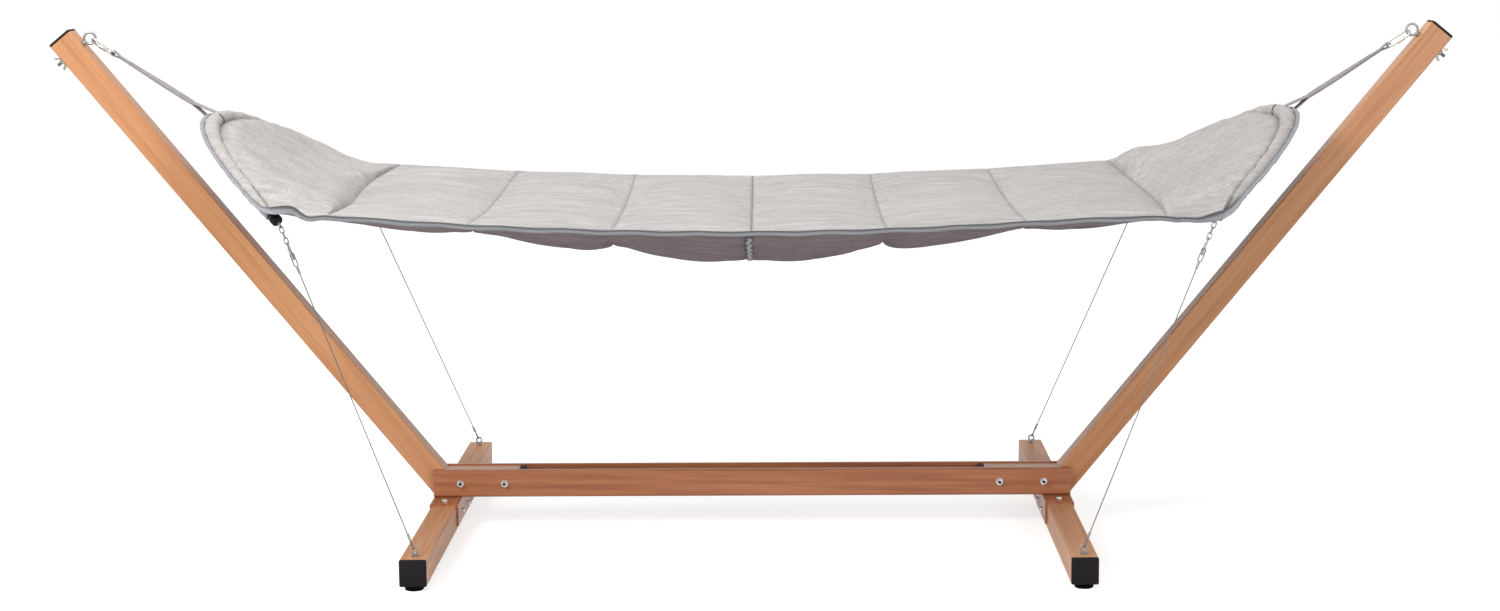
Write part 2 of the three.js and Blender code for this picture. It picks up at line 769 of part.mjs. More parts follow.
// The stay from its eyelet down: link, hook and wire, each threaded through the one above
function stayPieces(side) {
  const frame = stayFrame(side);
  const { eyelet, along, across, depth } = frame;
  const at = (distance) => eyelet.clone().addScaledVector(along, distance);
  const linkTop = (eyeletRod + linkRod) / 2 + linkPlay;
  const linkCentre = linkTop - (linkLength - linkRod) / 2;
  const linkBottom = linkTop - (linkLength - linkRod);
  const hookTop = linkBottom + (linkRod + stayHookRod) / 2 + linkPlay;
  const hookCentre = hookTop - (stayHookLength - stayHookRod) / 2;
  const hookBottom = hookTop - (stayHookLength - stayHookRod);
  const linkGeometry = placed(link(linkLength, linkWidth, linkRod), at(linkCentre), along, across);
  const loop = link(stayHookLength, stayHookWidth, stayHookRod);
  const barOffset = (stayHookWidth - stayHookRod) / 2;
  const sleeve = bar(
    vector(-stayHookSleeveLength / 2, barOffset, 0),
    vector(stayHookSleeveLength / 2, barOffset, 0),
    stayHookSleeveDiameter,
    8,
  );
  const hookGeometry = placed(join(loop, sleeve), at(hookCentre), along, depth);
  const loopCentre = hookBottom;
  const topLoop = placed(link(stayLoopLength, stayLoopWidth, stayWireDiameter, 2), at(loopCentre), along, across);
  const footReach = eyelet.clone().sub(frame.ringTop).length();
  const footLoopEnd = -footReach - (footEyeRod + stayWireDiameter) / 2 - linkPlay;
  const footLoopCentre = footLoopEnd + (stayFootLoopLength - stayWireDiameter) / 2;
  const footLoop = placed(
    link(stayFootLoopLength, stayLoopWidth, stayWireDiameter, 2),
    at(footLoopCentre),
    along,
    depth,
  );
  const upperEnd = loopCentre - stayLoopLength / 2;
  const lowerEnd = footLoopCentre + stayFootLoopLength / 2;
  const wire = bar(at(lowerEnd - stayWireDiameter / 2), at(upperEnd + stayWireDiameter / 2), stayWireDiameter, 6);
  const upperFerrule = bar(at(upperEnd - ferruleLength), at(upperEnd), ferruleDiameter, 8);
  const lowerFerrule = bar(at(lowerEnd), at(lowerEnd + ferruleLength), ferruleDiameter, 8);
  return {
    link: linkGeometry,
    hook: hookGeometry,
    wire: join(wire, topLoop, footLoop, upperFerrule, lowerFerrule),
  };
}

const hookFar = pullLength - eyeRingRadius + (eyeRod + hookRod) / 2 + hookRingGap;
const hookNear = hookFar - hookLength;

// A drop shape round a circle at the origin, whose tail points along +x or -x
function dropPoints(radius, tail, steps, centre, direction) {
  const tangent = Math.acos(radius / tail);
  const points = [];
  for (let step = 0; step <= steps; step += 1) {
    const angle = tangent + (2 * Math.PI - 2 * tangent) * step / steps;
    points.push([centre + direction * radius * Math.cos(angle), direction * radius * Math.sin(angle)]);
  }
  return points;
}

// Half of the strap's outside round one eye, up to where the drop meets the joined strands
function outerDrop(radius, tail, half, steps, centre, direction) {
  const slope = Math.asin(radius / tail);
  const reach = tail - half / Math.tan(slope);
  const points = dropPoints(radius, tail, steps, centre, direction);
  return [[centre + direction * reach, direction * half], ...points, [centre + direction * reach, -direction * half]];
}

// The strap: two strands sewn together, open round the bow's sleeve and round the snap hook
function strap() {
  const sleeveRadius = sleeveDiameter / 2 + strapGap;
  const half = strapThickness;
  const eyeCentre = hookNear + strapEyeRadius - hookRod / 2 - strapThickness;
  const bowHole = dropPoints(sleeveRadius, strapSplit, 14, 0, 1);
  const eyeHole = dropPoints(strapEyeRadius, strapEyeReach, 10, eyeCentre, -1);
  const bowSide = outerDrop(sleeveRadius + strapThickness, strapSplit + strapSplit / 5, half, 14, 0, 1);
  const eyeSide = outerDrop(strapEyeRadius + strapThickness, strapEyeReach + strapEyeReach / 2, half, 10, eyeCentre, -1);
  const shape = new THREE.Shape([...bowSide, ...eyeSide].map(([x, y]) => new THREE.Vector2(x, y)));
  for (const points of [bowHole, eyeHole]) {
    const tail = points === bowHole ? [strapSplit, 0] : [eyeCentre - strapEyeReach, 0];
    const path = new THREE.Path([...points, tail].map(([x, y]) => new THREE.Vector2(x, y)));
    shape.holes.push(path);
  }
  const blank = new THREE.ExtrudeGeometry(shape, { depth: strapWidth, bevelEnabled: false });
  blank.translate(0, 0, -strapWidth / 2);
  const narrowFrom = eyeCentre - strapEyeReach;
  const wide = narrowFrom - strapTaper;
  const far = eyeCentre + strapEyeRadius + strapThickness + overrun;
  const plan = new THREE.Shape([
    [-sleeveDiameter, -strapWidth],
    [wide, -strapWidth],
    [wide, -strapWidth / 2],
    [narrowFrom, -strapEyeWidth / 2],
    [far, -strapEyeWidth / 2],
    [far, strapEyeWidth / 2],
    [narrowFrom, strapEyeWidth / 2],
    [wide, strapWidth / 2],
    [wide, strapWidth],
    [-sleeveDiameter, strapWidth],
  ].map(([x, y]) => new THREE.Vector2(x, y)));
  const planDepth = 4 * sleeveDiameter;
  const trim = new THREE.ExtrudeGeometry(plan, { depth: planDepth, bevelEnabled: false })
    .translate(0, 0, -planDepth / 2)
    .rotateX(-Math.PI / 2);
  const body = toGeometry(toSolid(blank).intersect(toSolid(trim)));
  return placed(body, apex, pullAlong, pullUp);
}

// The snap hook's own x runs from its strap end to its ring end, its y across
const hookAcross = pullUp.clone().multiplyScalar(Math.cos(hookTurn)).addScaledVector(Y, Math.sin(hookTurn));
const hookOrigin = apex.clone().addScaledVector(pullAlong, hookNear);

function snapHook() {
  const half = hookSpacing / 2;
  const flat = hookRod * rodFlatShare / 2;
  const swell = (hookRod - 2 * flat) / 2;
  const gateEnd = hookLength - gateStart;
  const shape = new THREE.Shape();
  const tail = gateStart - swell;
  const nose = gateEnd + swell;
  shape.moveTo(tail, -half - flat);
  shape.lineTo(tail, -half + flat);
  shape.lineTo(half, -half + flat);
  shape.absarc(half, 0, half - flat, -Math.PI / 2, -Math.PI * 1.5, true);
  shape.lineTo(hookLength - half, half - flat);
  shape.absarc(hookLength - half, 0, half - flat, Math.PI / 2, -Math.PI / 2, true);
  shape.lineTo(nose, -half + flat);
  shape.lineTo(nose, -half - flat);
  shape.lineTo(hookLength - half, -half - flat);
  shape.absarc(hookLength - half, 0, half + flat, -Math.PI / 2, Math.PI / 2, false);
  shape.lineTo(half, half + flat);
  shape.absarc(half, 0, half + flat, Math.PI / 2, Math.PI * 1.5, false);
  return placed(bentWire(shape, hookRod, 5), hookOrigin, pullAlong, hookAcross);
}

function snapHookGate() {
  const half = hookSpacing / 2;
  const from = gateStart + gatePivotGap;
  const to = hookLength - gateStart - gateGap;
  const rod = bar(vector(from, -half, 0), vector(to, -half, 0), hookRod, 10);
  const sleeve = bar(
    vector(to - overrun - gateSleeveLength, -half, 0),
    vector(to - overrun, -half, 0),
    gateSleeveDiameter,
    12,
  );
  return placed(join(rod, sleeve), hookOrigin, pullAlong, hookAcross);
}

// The bed spans what the two bows leave: its seams share the length between the noses evenly
const noseStart = bowEnd.x - noseRun;
const seamPitch = noseStart / seamsPerSide;
const bedCentreHeight = bowEnd.z + bedEndAboveBow - bedEndRise;

// The bed's upper surface along its seams, as a grid from one nose to the other
function edgeHeight(x) {
  const share = x / noseStart;
  return bedCentreHeight + bedEndRise * share * share;
}

function noseEdge(v) {
  const angle = v * (sleeveReach + bowCapAngle);
  const lift = v * v * Math.PI / 3;
  const away = sleeveDiameter / 2 + sleeveSeat + cornerLift * Math.sin(lift);
  return bowPoint(angle)
    .addScaledVector(bowRadial(angle), -away * Math.cos(lift))
    .addScaledVector(bowUp, away * Math.sin(lift));
}

function seamPoint(x, v) {
  const z = edgeHeight(x) - topSag * (1 - v * v);
  return vector(x, v * bedWidth / 2, z);
}

// A point of the surface: u counts panels from the middle, v runs from the back edge, 1, to the front, -1
function bedPoint(u, v) {
  const size = Math.abs(u);
  const side = Math.sign(u) || 1;
  if (size <= seamsPerSide) {
    return seamPoint(u * seamPitch, v);
  }
  const share = size - seamsPerSide;
  const start = seamPoint(noseStart, v);
  const finish = noseEdge(v);
  const reach = (finish.x - start.x) / 2;
  const slope = 2 * bedEndRise / noseStart;
  const middle = start.clone().add(vector(reach, 0, reach * slope));
  middle.y = (start.y + finish.y) / 2;
  const point = start.multiplyScalar((1 - share) ** 2)
    .addScaledVector(middle, 2 * share * (1 - share))
    .addScaledVector(finish, share * share);
  point.x *= side;
  return point;
}

function bedNormal(u, v) {
  const step = 0.01;
  const reach = seamsPerSide + 1;
  const alongU = bedPoint(Math.min(u + step, reach), v).sub(bedPoint(Math.max(u - step, -reach), v));
  const alongV = bedPoint(u, Math.min(v + step, 1)).sub(bedPoint(u, Math.max(v - step, -1)));
  return alongU.cross(alongV).normalize();
}

// How far the padding swells above the seams, and how deep it hangs below them
function topSwell(u, v) {
  const bump = Math.abs(Math.sin(Math.PI * u)) ** 0.6;
  return topCrown * bump * (1 - v ** 6);
}

function underDepth(u, v) {
  const size = Math.abs(u);
  const panel = Math.min(Math.floor(size), seamsPerSide);
  const share = size - panel;
  const inner = seamDepths[panel];
  const outer = panel === seamsPerSide ? noseEndDepth : seamDepths[panel + 1];
  const straight = inner + (outer - inner) * share;
  const swell = panelDepths[panel] - (inner + outer) / 2;
  const bump = Math.abs(Math.sin(Math.PI * size)) ** 0.7;
  const depth = straight + swell * bump;
  const across = Math.max(0, 1 - v * v) ** 0.8;
  return bedEdgeThickness + (depth - bedEdgeThickness) * across;
}

function bedGridLines() {
  const lines = [];
  const reach = seamsPerSide + 1;
  for (let panel = -reach; panel < reach; panel += 1) {
    const isNose = panel === -reach || panel === reach - 1;
    const cells = isNose ? noseCells : panelCells;
    for (let cell = 0; cell < cells; cell += 1) {
      const share = cell / cells;
      const eased = (1 - Math.cos(Math.PI * share)) / 2;
      lines.push(panel + (isNose ? share : (share + eased) / 2));
    }
  }
  lines.push(reach);
  return lines;
}

function hammockPad() {
  const lines = bedGridLines();
  const columns = crossCells + 1;
  const positions = [];
  for (const upper of [true, false]) {
    for (const u of lines) {
      for (let column = 0; column < columns; column += 1) {
        const v = -1 + 2 * column / crossCells;
        const normal = bedNormal(u, v);
        const offset = upper ? topSwell(u, v) : -underDepth(u, v);
        const point = bedPoint(u, v).addScaledVector(normal, offset);
        positions.push(point.x, point.y, point.z);
      }
    }
  }
  const triangles = [];
  const quad = (a, b, c, d) => triangles.push(a, b, c, a, c, d);
  const below = lines.length * columns;
  for (let row = 0; row + 1 < lines.length; row += 1) {
    for (let column = 0; column + 1 < columns; column += 1) {
      const a = row * columns + column;
      const b = a + columns;
      quad(a, b, b + 1, a + 1);
      quad(below + a, below + a + 1, below + b + 1, below + b);
    }
    const front = row * columns;
    const back = front + columns - 1;
    quad(front, below + front, below + front + columns, front + columns);
    quad(back, back + columns, below + back + columns, below + back);
  }
  const last = (lines.length - 1) * columns;
  for (let column = 0; column + 1 < columns; column += 1) {
    quad(column, column + 1, below + column + 1, below + column);
    quad(last + column, below + last + column, below + last + column + 1, last + column + 1);
  }
  const geometry = new THREE.BufferGeometry();
  geometry.setAttribute('position', new THREE.Float32BufferAttribute(positions, 3));
  geometry.setIndex(triangles);
  geometry.computeVertexNormals();
  const cuts = [1, -1].map((side) => {
    const reach = strapWidth / 2 + 2 * strapThickness;
    const centre = vector(side * apex.x, 0, apex.z);
    const radius = sleeveDiameter / 2 + 2 * strapThickness;
    return bar(centre.clone().addScaledVector(Y, -reach), centre.clone().addScaledVector(Y, reach), 2 * radius, 24);
  });
  return cut(geometry, ...cuts);
}

// The band under the middle seam, which follows the padding from edge to edge
function middleBand() {
  const outline = [];
  const inset = 1;
  for (const depth of [bandGap, bandGap + bandThickness]) {
    const row = [];
    for (let column = inset; column <= crossCells - inset; column += 1) {
      const v = -1 + 2 * column / crossCells;
      const point = bedPoint(0, v).addScaledVector(bedNormal(0, v), -underDepth(0, v) - depth);
      row.push([point.y, point.z]);
    }
    outline.push(...(depth === bandGap ? row : row.reverse()));
  }
  const shape = new THREE.Shape(outline.map(([y, z]) => new THREE.Vector2(y, z)));
  const blank = new THREE.ExtrudeGeometry(shape, { depth: bandWidth, bevelEnabled: false });
  return placed(blank, vector(-bandWidth / 2, 0, 0), Y, Z);
}

piece('hammock_pad', hammockPad(), 'fabric');
piece('middle_band', middleBand(), 'binding');

endGroups.forEach((group, index) => {
  const name = ends[index].name;
  const bowInner = bowDiameter - 2 * bowWall;
  piece(`spreader_bow_${name}`, bowTube(bowDiameter, bowInner, bowReach, 4), 'black', group);
  const sleeveBore = bowDiameter + 2 * sleeveClearance;
  piece(`bow_sleeve_${name}`, bowTube(sleeveDiameter, sleeveBore, sleeveReach, 4), 'fabric', group);
  piece(`strap_${name}`, strap(), 'webbing', group);
  piece(`snap_hook_${name}`, snapHook(), 'steel', group);
  piece(`snap_hook_gate_${name}`, snapHookGate(), 'steel', group);
  for (const [end, side] of [['front', -1], ['back', 1]]) {
    const realEnd = index === 0 ? end : (end === 'front' ? 'back' : 'front');
    const stay = stayPieces(side);
    piece(`bow_cap_${name}_${realEnd}`, bowCap(side), 'black', group);
    piece(`stay_link_${name}_${realEnd}`, stay.link, 'steel', group);
    piece(`stay_hook_${name}_${realEnd}`, stay.hook, 'steel', group);
    piece(`stay_wire_${name}_${realEnd}`, stay.wire, 'steel', group);
  }
});

export default hammock;
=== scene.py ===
"""Dresses the packed hammock with stand: quilted bed, straps, stays, fittings, finishes and a plain studio."""

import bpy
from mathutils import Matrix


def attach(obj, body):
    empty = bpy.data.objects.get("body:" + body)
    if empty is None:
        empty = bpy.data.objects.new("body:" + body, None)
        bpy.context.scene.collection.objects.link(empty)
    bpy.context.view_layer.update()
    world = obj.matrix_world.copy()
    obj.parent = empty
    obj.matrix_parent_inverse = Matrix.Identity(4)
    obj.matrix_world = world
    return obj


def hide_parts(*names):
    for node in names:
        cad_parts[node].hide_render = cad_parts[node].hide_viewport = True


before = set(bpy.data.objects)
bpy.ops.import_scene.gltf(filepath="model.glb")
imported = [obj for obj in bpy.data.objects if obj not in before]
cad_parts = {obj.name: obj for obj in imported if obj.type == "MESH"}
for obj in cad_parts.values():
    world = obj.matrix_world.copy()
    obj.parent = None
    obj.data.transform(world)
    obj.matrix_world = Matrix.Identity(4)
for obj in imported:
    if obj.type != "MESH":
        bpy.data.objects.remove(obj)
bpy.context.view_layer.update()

import math

import bmesh
import bpy
import numpy as np
from bpy.props import FloatProperty, FloatVectorProperty, PointerProperty
from mathutils import Matrix, Vector

bl_info = {
    "name": "Hammock dressing",
    "version": (1, 0, 0),
    "blender": (4, 5, 0),
    "location": "3D Viewport > Sidebar > Hammock",
    "description": "Dresses the packed hammock with stand",
    "category": "Object",
}

# The two ends of the stand: the left one is the right one turned half a turn about Z
ENDS = (("right", 1.0), ("left", -1.0))
SIDES = (-1.0, 1.0)
X_AXIS, Y_AXIS, Z_AXIS = Vector((1, 0, 0)), Vector((0, 1, 0)), Vector((0, 0, 1))

# Panels between the middle seam and each last seam; one end panel follows on each side
PER_SIDE = 3
# Distance between two seams, in metres
SEAM_SPACING = 0.304
# Frames of the cloth simulation
CLOTH_FRAMES = 20
# Edges that turn by more than this stay sharp
CREASE_ANGLE = math.radians(35)
# Middle radius of the eye bolt's ring
EYE_RING_RADIUS = 0.0135
# Half the wires of eye ring and snap hook together, and the play between them
RING_AND_HOOK_WIRE, HOOK_PLAY = 0.00525, 0.0014
HOOK_LENGTH, HOOK_HALF_WIDTH = 0.061, 0.01
# Turn of the webbing about its own length
STRAP_TWIST = 0.13
# Foot eye's distance from the crossbar's end
FOOT_EYE_INSET = 0.038
# Middle radius of the foot eye's ring, and height of its middle
FOOT_EYE_RADIUS, FOOT_EYE_HEIGHT = 0.007, 0.084
# Middle radius of the eyelet under a bow's end
EYELET_RADIUS = 0.0075
# Length of a bow's end taken by its cap, and of the bare tube between cap and sleeve
BOW_CAP_LENGTH, BARE_TUBE = 0.016, 0.0103
# Turn of the finishes whose pattern already runs along x
STRAIGHT = (0, 0, 0)
# Middle value of the weave's shade
WEAVE_MEAN = 0.98
# Outer half thickness of the base beam at its bolts
BEAM_FACE = 0.0453

# Turned profiles, as pairs of radius and height
LUG = [(0, -0.0028), (0.0031, -0.0026), (0.0034, 0), (0.0031, 0.0026), (0, 0.0028)]
WASHER = [(0.004, 0), (0.0086, 0), (0.009, 0.0004), (0.009, 0.0012), (0.0086, 0.0016), (0.004, 0.0016)]
BEAM_BOLT_SHANK = [(0, -0.0903), (0.005, -0.0903), (0.005, 0.0), (0.005, 0.008), (0.0048, 0.0105), (0, 0.0108)]
FOOT_EYE_STEM = [
    (0, -0.012), (0.004, -0.012), (0.004, 0.0002), (0.0072, 0.0003), (0.0078, 0.0008),
    (0.0076, 0.0024), (0.006, 0.0033), (0.0028, 0.0036), (0.0024, 0.0055), (0, 0.0056),
]
RUBBER_FOOT = [
    (0, 0.0012), (0.012, 0.0012), (0.0135, 0), (0.0185, 0), (0.0205, 0.0015), (0.021, 0.003),
    (0.021, 0.0085), (0.0195, 0.0102), (0.017, 0.0107), (0.005, 0.0107), (0.005, 0.02), (0, 0.02),
]
STAY_HOOK_GATE = [
    (0, -0.0115), (0.0021, -0.0113), (0.0024, -0.0105), (0.0024, -0.0085), (0.003, -0.008),
    (0.003, 0.0078), (0.0026, 0.0082), (0.0018, 0.0083), (0, 0.0084),
]
FERRULE_HALF = [
    (0.003, 0.0005), (0.003, 0.0035), (0.0026, 0.004), (0.003, 0.0045), (0.003, 0.0072), (0.0026, 0.008), (0, 0.008),
]
FERRULE = [(r, -z) for r, z in reversed(FERRULE_HALF)] + [(0.0026, 0)] + FERRULE_HALF
WING_NUT_HUB = [(0.00455, 0.0), (0.0078, 0.0), (0.0082, 0.0006), (0.0072, 0.0075), (0.0066, 0.009), (0.00455, 0.009)]
# Outline of one wing, as pairs of distance from the hub's middle and height
WING = [
    (0.0055, 0.0022), (0.0095, 0.0025), (0.0150, 0.0075), (0.0182, 0.0125), (0.0184, 0.0160),
    (0.0168, 0.0178), (0.0142, 0.0172), (0.0112, 0.0128), (0.0084, 0.0085), (0.0055, 0.0066),
]
# Square sections of the tube caps: side, corner radius and height
FOOT_CAP = [
    (0.057, 0.0022, 0.0), (0.0592, 0.003, 0.0006), (0.06, 0.0035, 0.0018), (0.06, 0.0035, 0.0068),
    (0.0595, 0.0032, 0.007), (0.053, 0.003, 0.0071), (0.053, 0.003, 0.02),
]
ARM_CAP = [
    (0.055, 0.0024, 0.0), (0.058, 0.003, 0.0004), (0.0597, 0.0035, 0.0014), (0.06, 0.0035, 0.0028),
    (0.06, 0.0035, 0.006), (0.0535, 0.003, 0.0061), (0.0535, 0.003, 0.012),
]


# ---- Settings


def metres(name, description, default):
    return FloatProperty(name=name, description=description, default=default, unit="LENGTH")


def radians(name, description, default):
    return FloatProperty(name=name, description=description, default=default, subtype="ANGLE")


def watts(name, description, default):
    return FloatProperty(name=name, description=description, default=default, unit="POWER")


def tint(name, description, default):
    return FloatVectorProperty(name=name, description=description, default=default, subtype="COLOR", min=0, max=1)


class HammockFrameSettings(bpy.types.PropertyGroup):
    """Sizes and angles that repeat the CAD model's"""

    beam_half: metres("Beam half length", "From the middle to the beam's end", 0.766)
    tube: metres("Tube side", "Side of the square tube", 0.06)
    arm_angle: radians("Arm angle", "Slope of the arms", math.radians(50.8))
    arm_length: metres("Arm length", "From the bend to the tip", 1.388)
    stub_centre: metres("Stub height", "Height of the stub's middle", 0.1089)
    eye_from_tip: metres("Eye from tip", "Eye bolt's distance from the tip", 0.045)
    foot_x: metres("Foot place", "Crossbar's distance from the middle", 0.733)
    foot_half: metres("Foot half length", "Half the crossbar's length", 0.66)
    pull_length: metres("Pull length", "From a bow's top to its eye ring", 0.35725)
    pull_angle: radians("Pull angle", "Slope of the straps", math.radians(32.94))
    bow_width: metres("Bow width", "Between a bow's two ends", 1.06)
    bow_sagitta: metres("Bow depth", "From the ends' line to the top", 0.3011)
    bow_lean: radians("Bow lean", "Slope of the bow's plane", math.radians(38.39))
    bow_radius: metres("Bow tube radius", "Radius of the bow's tube", 0.0113)
    roll_radius: metres("Roll radius", "Radius of the cloth roll inside the sleeve's space", 0.0178)


class HammockBedSettings(bpy.types.PropertyGroup):
    """Form of the quilted bed"""

    half_width: metres("Half width", "From the middle to a side edge", 0.56)
    nose_run: metres("Nose run", "From the last seam to the bow's end", 0.114)
    above_bow: metres("End height", "Height of the last seam above the bow's end", 0.022)
    end_rise: metres("End rise", "Rise of the edges from the middle to the last seam", 0.04)
    sag: metres("Sag", "Sag of the seams between the edges", 0.018)
    lie: metres("Lie", "Rise of the back edge over the front edge", 0.012)
    bow_out: metres("Seam bow", "Outward bow of the last seams", 0.022)
    droop: metres("Droop", "Droop of the right front corner", 0.02)
    crown: metres("Crown", "Swell of the panels above the seams", 0.012)
    nose_crown: metres("Nose crown", "Swell of the end panels", 0.034)
    rim: metres("Rim thickness", "Thickness at the side edges", 0.008)
    pucker: metres("Pucker", "Height of the gathers along the seams", 0.0022)
    ripple: metres("Ripple", "Height of the ripples inside a panel", 0.0021)
    pressure: FloatProperty(name="Pressure", description="Cloth pressure of the filling", default=3.0)
    slack: FloatProperty(name="Slack", description="Share of spare cloth between the seams", default=0.035)
    cap: metres("Cloth cap", "Most that the cloth may move", 0.007)


class HammockFinishSettings(bpy.types.PropertyGroup):
    """Colours of the finishes, linear"""

    arm_pale: tint("Arm pale grain", "Paler wood colour of the arms", (0.59, 0.287, 0.133))
    arm_deep: tint("Arm deep grain", "Deeper wood colour of the arms", (0.42, 0.165, 0.064))
    beam_pale: tint("Beam pale grain", "Paler wood colour of the beam", (0.49, 0.186, 0.077))
    beam_deep: tint("Beam deep grain", "Deeper wood colour of the beam", (0.235, 0.063, 0.024))
    foot_pale: tint("Foot pale grain", "Paler wood colour of the crossbars", (0.62, 0.32, 0.165))
    foot_deep: tint("Foot deep grain", "Deeper wood colour of the crossbars", (0.46, 0.195, 0.084))
    fabric: tint("Fabric", "Upper side of the bed", (0.53, 0.5, 0.487))
    # The underside colour is darker than the upper fabric: partly the cloth's own mauve tone, partly painted shade for
    # the side that faces down
    under: tint("Underside", "Lower side of the bed", (0.285, 0.22, 0.235))
    binding: tint("Binding", "Edge binding", (0.31, 0.318, 0.343))
    webbing: tint("Webbing", "Straps", (0.33, 0.3, 0.315))
    steel: tint("Steel", "Bright steel", (0.3, 0.294, 0.285))


class HammockStageSettings(bpy.types.PropertyGroup):
    """Camera and light"""

    lens: FloatProperty(name="Lens", description="Focal length in millimetres on a 36 mm sensor", default=63.6)
    place: FloatVectorProperty(
        name="Camera place", description="Camera position", default=(0.0864, -6.2869, 1.4539), subtype="TRANSLATION"
    )
    yaw: radians("Yaw", "Camera's turn to the right", -0.01397)
    pitch: radians("Pitch", "Camera's tilt downwards", 0.1455)
    roll: radians("Roll", "Camera's roll", -0.00719)
    key: watts("Key light", "Power of the key light", 132.0)
    fill: watts("Fill light", "Power of the fill light", 121.0)
    top: watts("Top light", "Power of the light overhead", 116.0)
    ambient: FloatProperty(name="Ambient", description="Strength of the surroundings' light", default=0.5)


SETTINGS = {
    "hammock_frame": HammockFrameSettings,
    "hammock_bed": HammockBedSettings,
    "hammock_finish": HammockFinishSettings,
    "hammock_stage": HammockStageSettings,
}


# ---- Places shared by the pieces


def turned(point, turn):
    """A point of the right end, or the same point of the left end"""
    return Vector((point[0] * turn, point[1] * turn, point[2]))


def polar(angle):
    return Vector((math.cos(angle), 0, math.sin(angle)))


class Places:
    """Places worked out from the frame settings, as in the CAD model, for the right end"""

    def __init__(self, s):
        bend = Vector((s.beam_half - s.tube / 2 * math.tan(s.arm_angle / 2), 0, s.stub_centre))
        self.arm_along = polar(s.arm_angle)
        self.arm_out = Vector((math.sin(s.arm_angle), 0, -math.cos(s.arm_angle)))
        self.bend = bend
        self.tip = bend + self.arm_along * s.arm_length
        self.eye_axis = bend + self.arm_along * (s.arm_length - s.eye_from_tip)
        self.ring = self.eye_axis - self.arm_out * (s.tube / 2 + 0.02)
        self.pull = polar(s.pull_angle)
        self.pull_up = Vector((-self.pull.z, 0, self.pull.x))
        self.apex = self.ring - self.pull * s.pull_length
        self.lean = polar(s.bow_lean)
        self.bow_up = Vector((-self.lean.z, 0, self.lean.x))
        self.bow_r = ((s.bow_width / 2) ** 2 + s.bow_sagitta**2) / (2 * s.bow_sagitta)
        self.bow_c = self.apex - self.lean * self.bow_r
        self.bow_half = math.asin(s.bow_width / 2 / self.bow_r)
        self.bow_end = self.apex - self.lean * s.bow_sagitta
        self.bow_reach = self.bow_half - BOW_CAP_LENGTH / self.bow_r
        self.sleeve_reach = self.bow_reach - BARE_TUBE / self.bow_r
        self.hook_start = s.pull_length - EYE_RING_RADIUS + RING_AND_HOOK_WIRE + HOOK_PLAY - HOOK_LENGTH
        self.settings = s

    def bow(self, angle):
        return self.bow_c + self.radial(angle) * self.bow_r

    def round_bow(self, angle, radius, t):
        """A point at a radius from the bow's middle line, t turned from outward to upward"""
        return self.bow(angle) + self.radial(angle) * (radius * math.cos(t)) + self.bow_up * (radius * math.sin(t))

    def roll(self, share):
        """Radius of the cloth roll, thinner toward the bow's two ends"""
        return self.settings.roll_radius - 0.0036 * np.clip((np.abs(share) - 0.3) / 0.55, 0, 1)

    def radial(self, angle):
        return self.lean * math.cos(angle) + Y_AXIS * math.sin(angle)

    def tangent(self, angle):
        return Y_AXIS * math.cos(angle) - self.lean * math.sin(angle)

    def stay(self, side):
        """The stay's frame: top of the foot eye's hole, eyelet under the bow, and three directions"""
        s = self.settings
        foot = Vector((s.foot_x, side * (s.foot_half - FOOT_EYE_INSET), FOOT_EYE_HEIGHT))
        cap = self.bow(side * self.bow_half)
        eyelet = cap + (foot - cap).normalized() * 0.014
        lean = Vector((eyelet.x - foot.x, 0, eyelet.z - foot.z)).normalized()
        top = foot + lean * FOOT_EYE_RADIUS
        along = (eyelet - top).normalized()
        across = Y_AXIS.cross(along).normalized()
        return top, eyelet, along, across, along.cross(across).normalized()


# ---- Mesh helpers


def dress(obj, body, node=None):
    """Puts a piece on its body, in place of a CAD node where it stands for one"""
    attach(obj, body)
    if node:
        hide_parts(node)
    return obj


def link_object(obj):
    bpy.context.scene.collection.objects.link(obj)
    return obj


def mesh_piece(name, vertices, faces, materials, indices=None):
    """A smooth mesh object from points and faces"""
    mesh = bpy.data.meshes.new(name)
    mesh.from_pydata([tuple(v) for v in vertices], [], faces)
    mesh.update()
    for material in materials if isinstance(materials, (list, tuple)) else [materials]:
        mesh.materials.append(material)
    if indices is not None:
        mesh.polygons.foreach_set("material_index", indices)
    mesh.polygons.foreach_set("use_smooth", [True] * len(mesh.polygons))
    mesh.update()
    return link_object(bpy.data.objects.new(name, mesh))


def outward(obj):
    """Faces turned outward"""
    work = bmesh.new()
    work.from_mesh(obj.data)
    bmesh.ops.recalc_face_normals(work, faces=work.faces)
    work.to_mesh(obj.data)
    work.free()
    return obj


def joined(name, objects):
    """Several mesh objects as one"""
    first = objects[0]
    chosen = {"active_object": first, "selected_editable_objects": objects, "selected_objects": objects}
    with bpy.context.temp_override(**chosen):
        bpy.ops.object.join()
    first.name = name
    first.data.name = name
    return first


def creased(obj):
    """Smooth faces with sharp edges above the crease angle"""
    mesh = obj.data
    work = bmesh.new()
    work.from_mesh(mesh)
    for edge in work.edges:
        edge.smooth = len(edge.link_faces) != 2 or edge.calc_face_angle(0.0) < CREASE_ANGLE
    work.to_mesh(mesh)
    work.free()
    return obj


def lofted(name, loops, material, close_ends=True, wrap=False):
    """A skin through loops of points with equal counts"""
    count = len(loops[0])
    points = [p for loop in loops for p in loop]
    faces = []
    rows = len(loops)
    for row in range(rows if wrap else rows - 1):
        start, following = row * count, ((row + 1) % rows) * count
        for i in range(count):
            j = (i + 1) % count
            faces.append((start + i, start + j, following + j, following + i))
    if close_ends and not wrap:
        faces.append(tuple(range(count))[::-1])
        faces.append(tuple(range((rows - 1) * count, rows * count)))
    return creased(outward(mesh_piece(name, points, faces, material)))


def oriented(origin, x_axis, y_axis):
    """A matrix whose own x and y run along two directions"""
    x_axis, y_axis = Vector(x_axis).normalized(), Vector(y_axis).normalized()
    z_axis = x_axis.cross(y_axis)
    matrix = Matrix((x_axis, y_axis, z_axis)).transposed().to_4x4()
    matrix.translation = origin
    return matrix


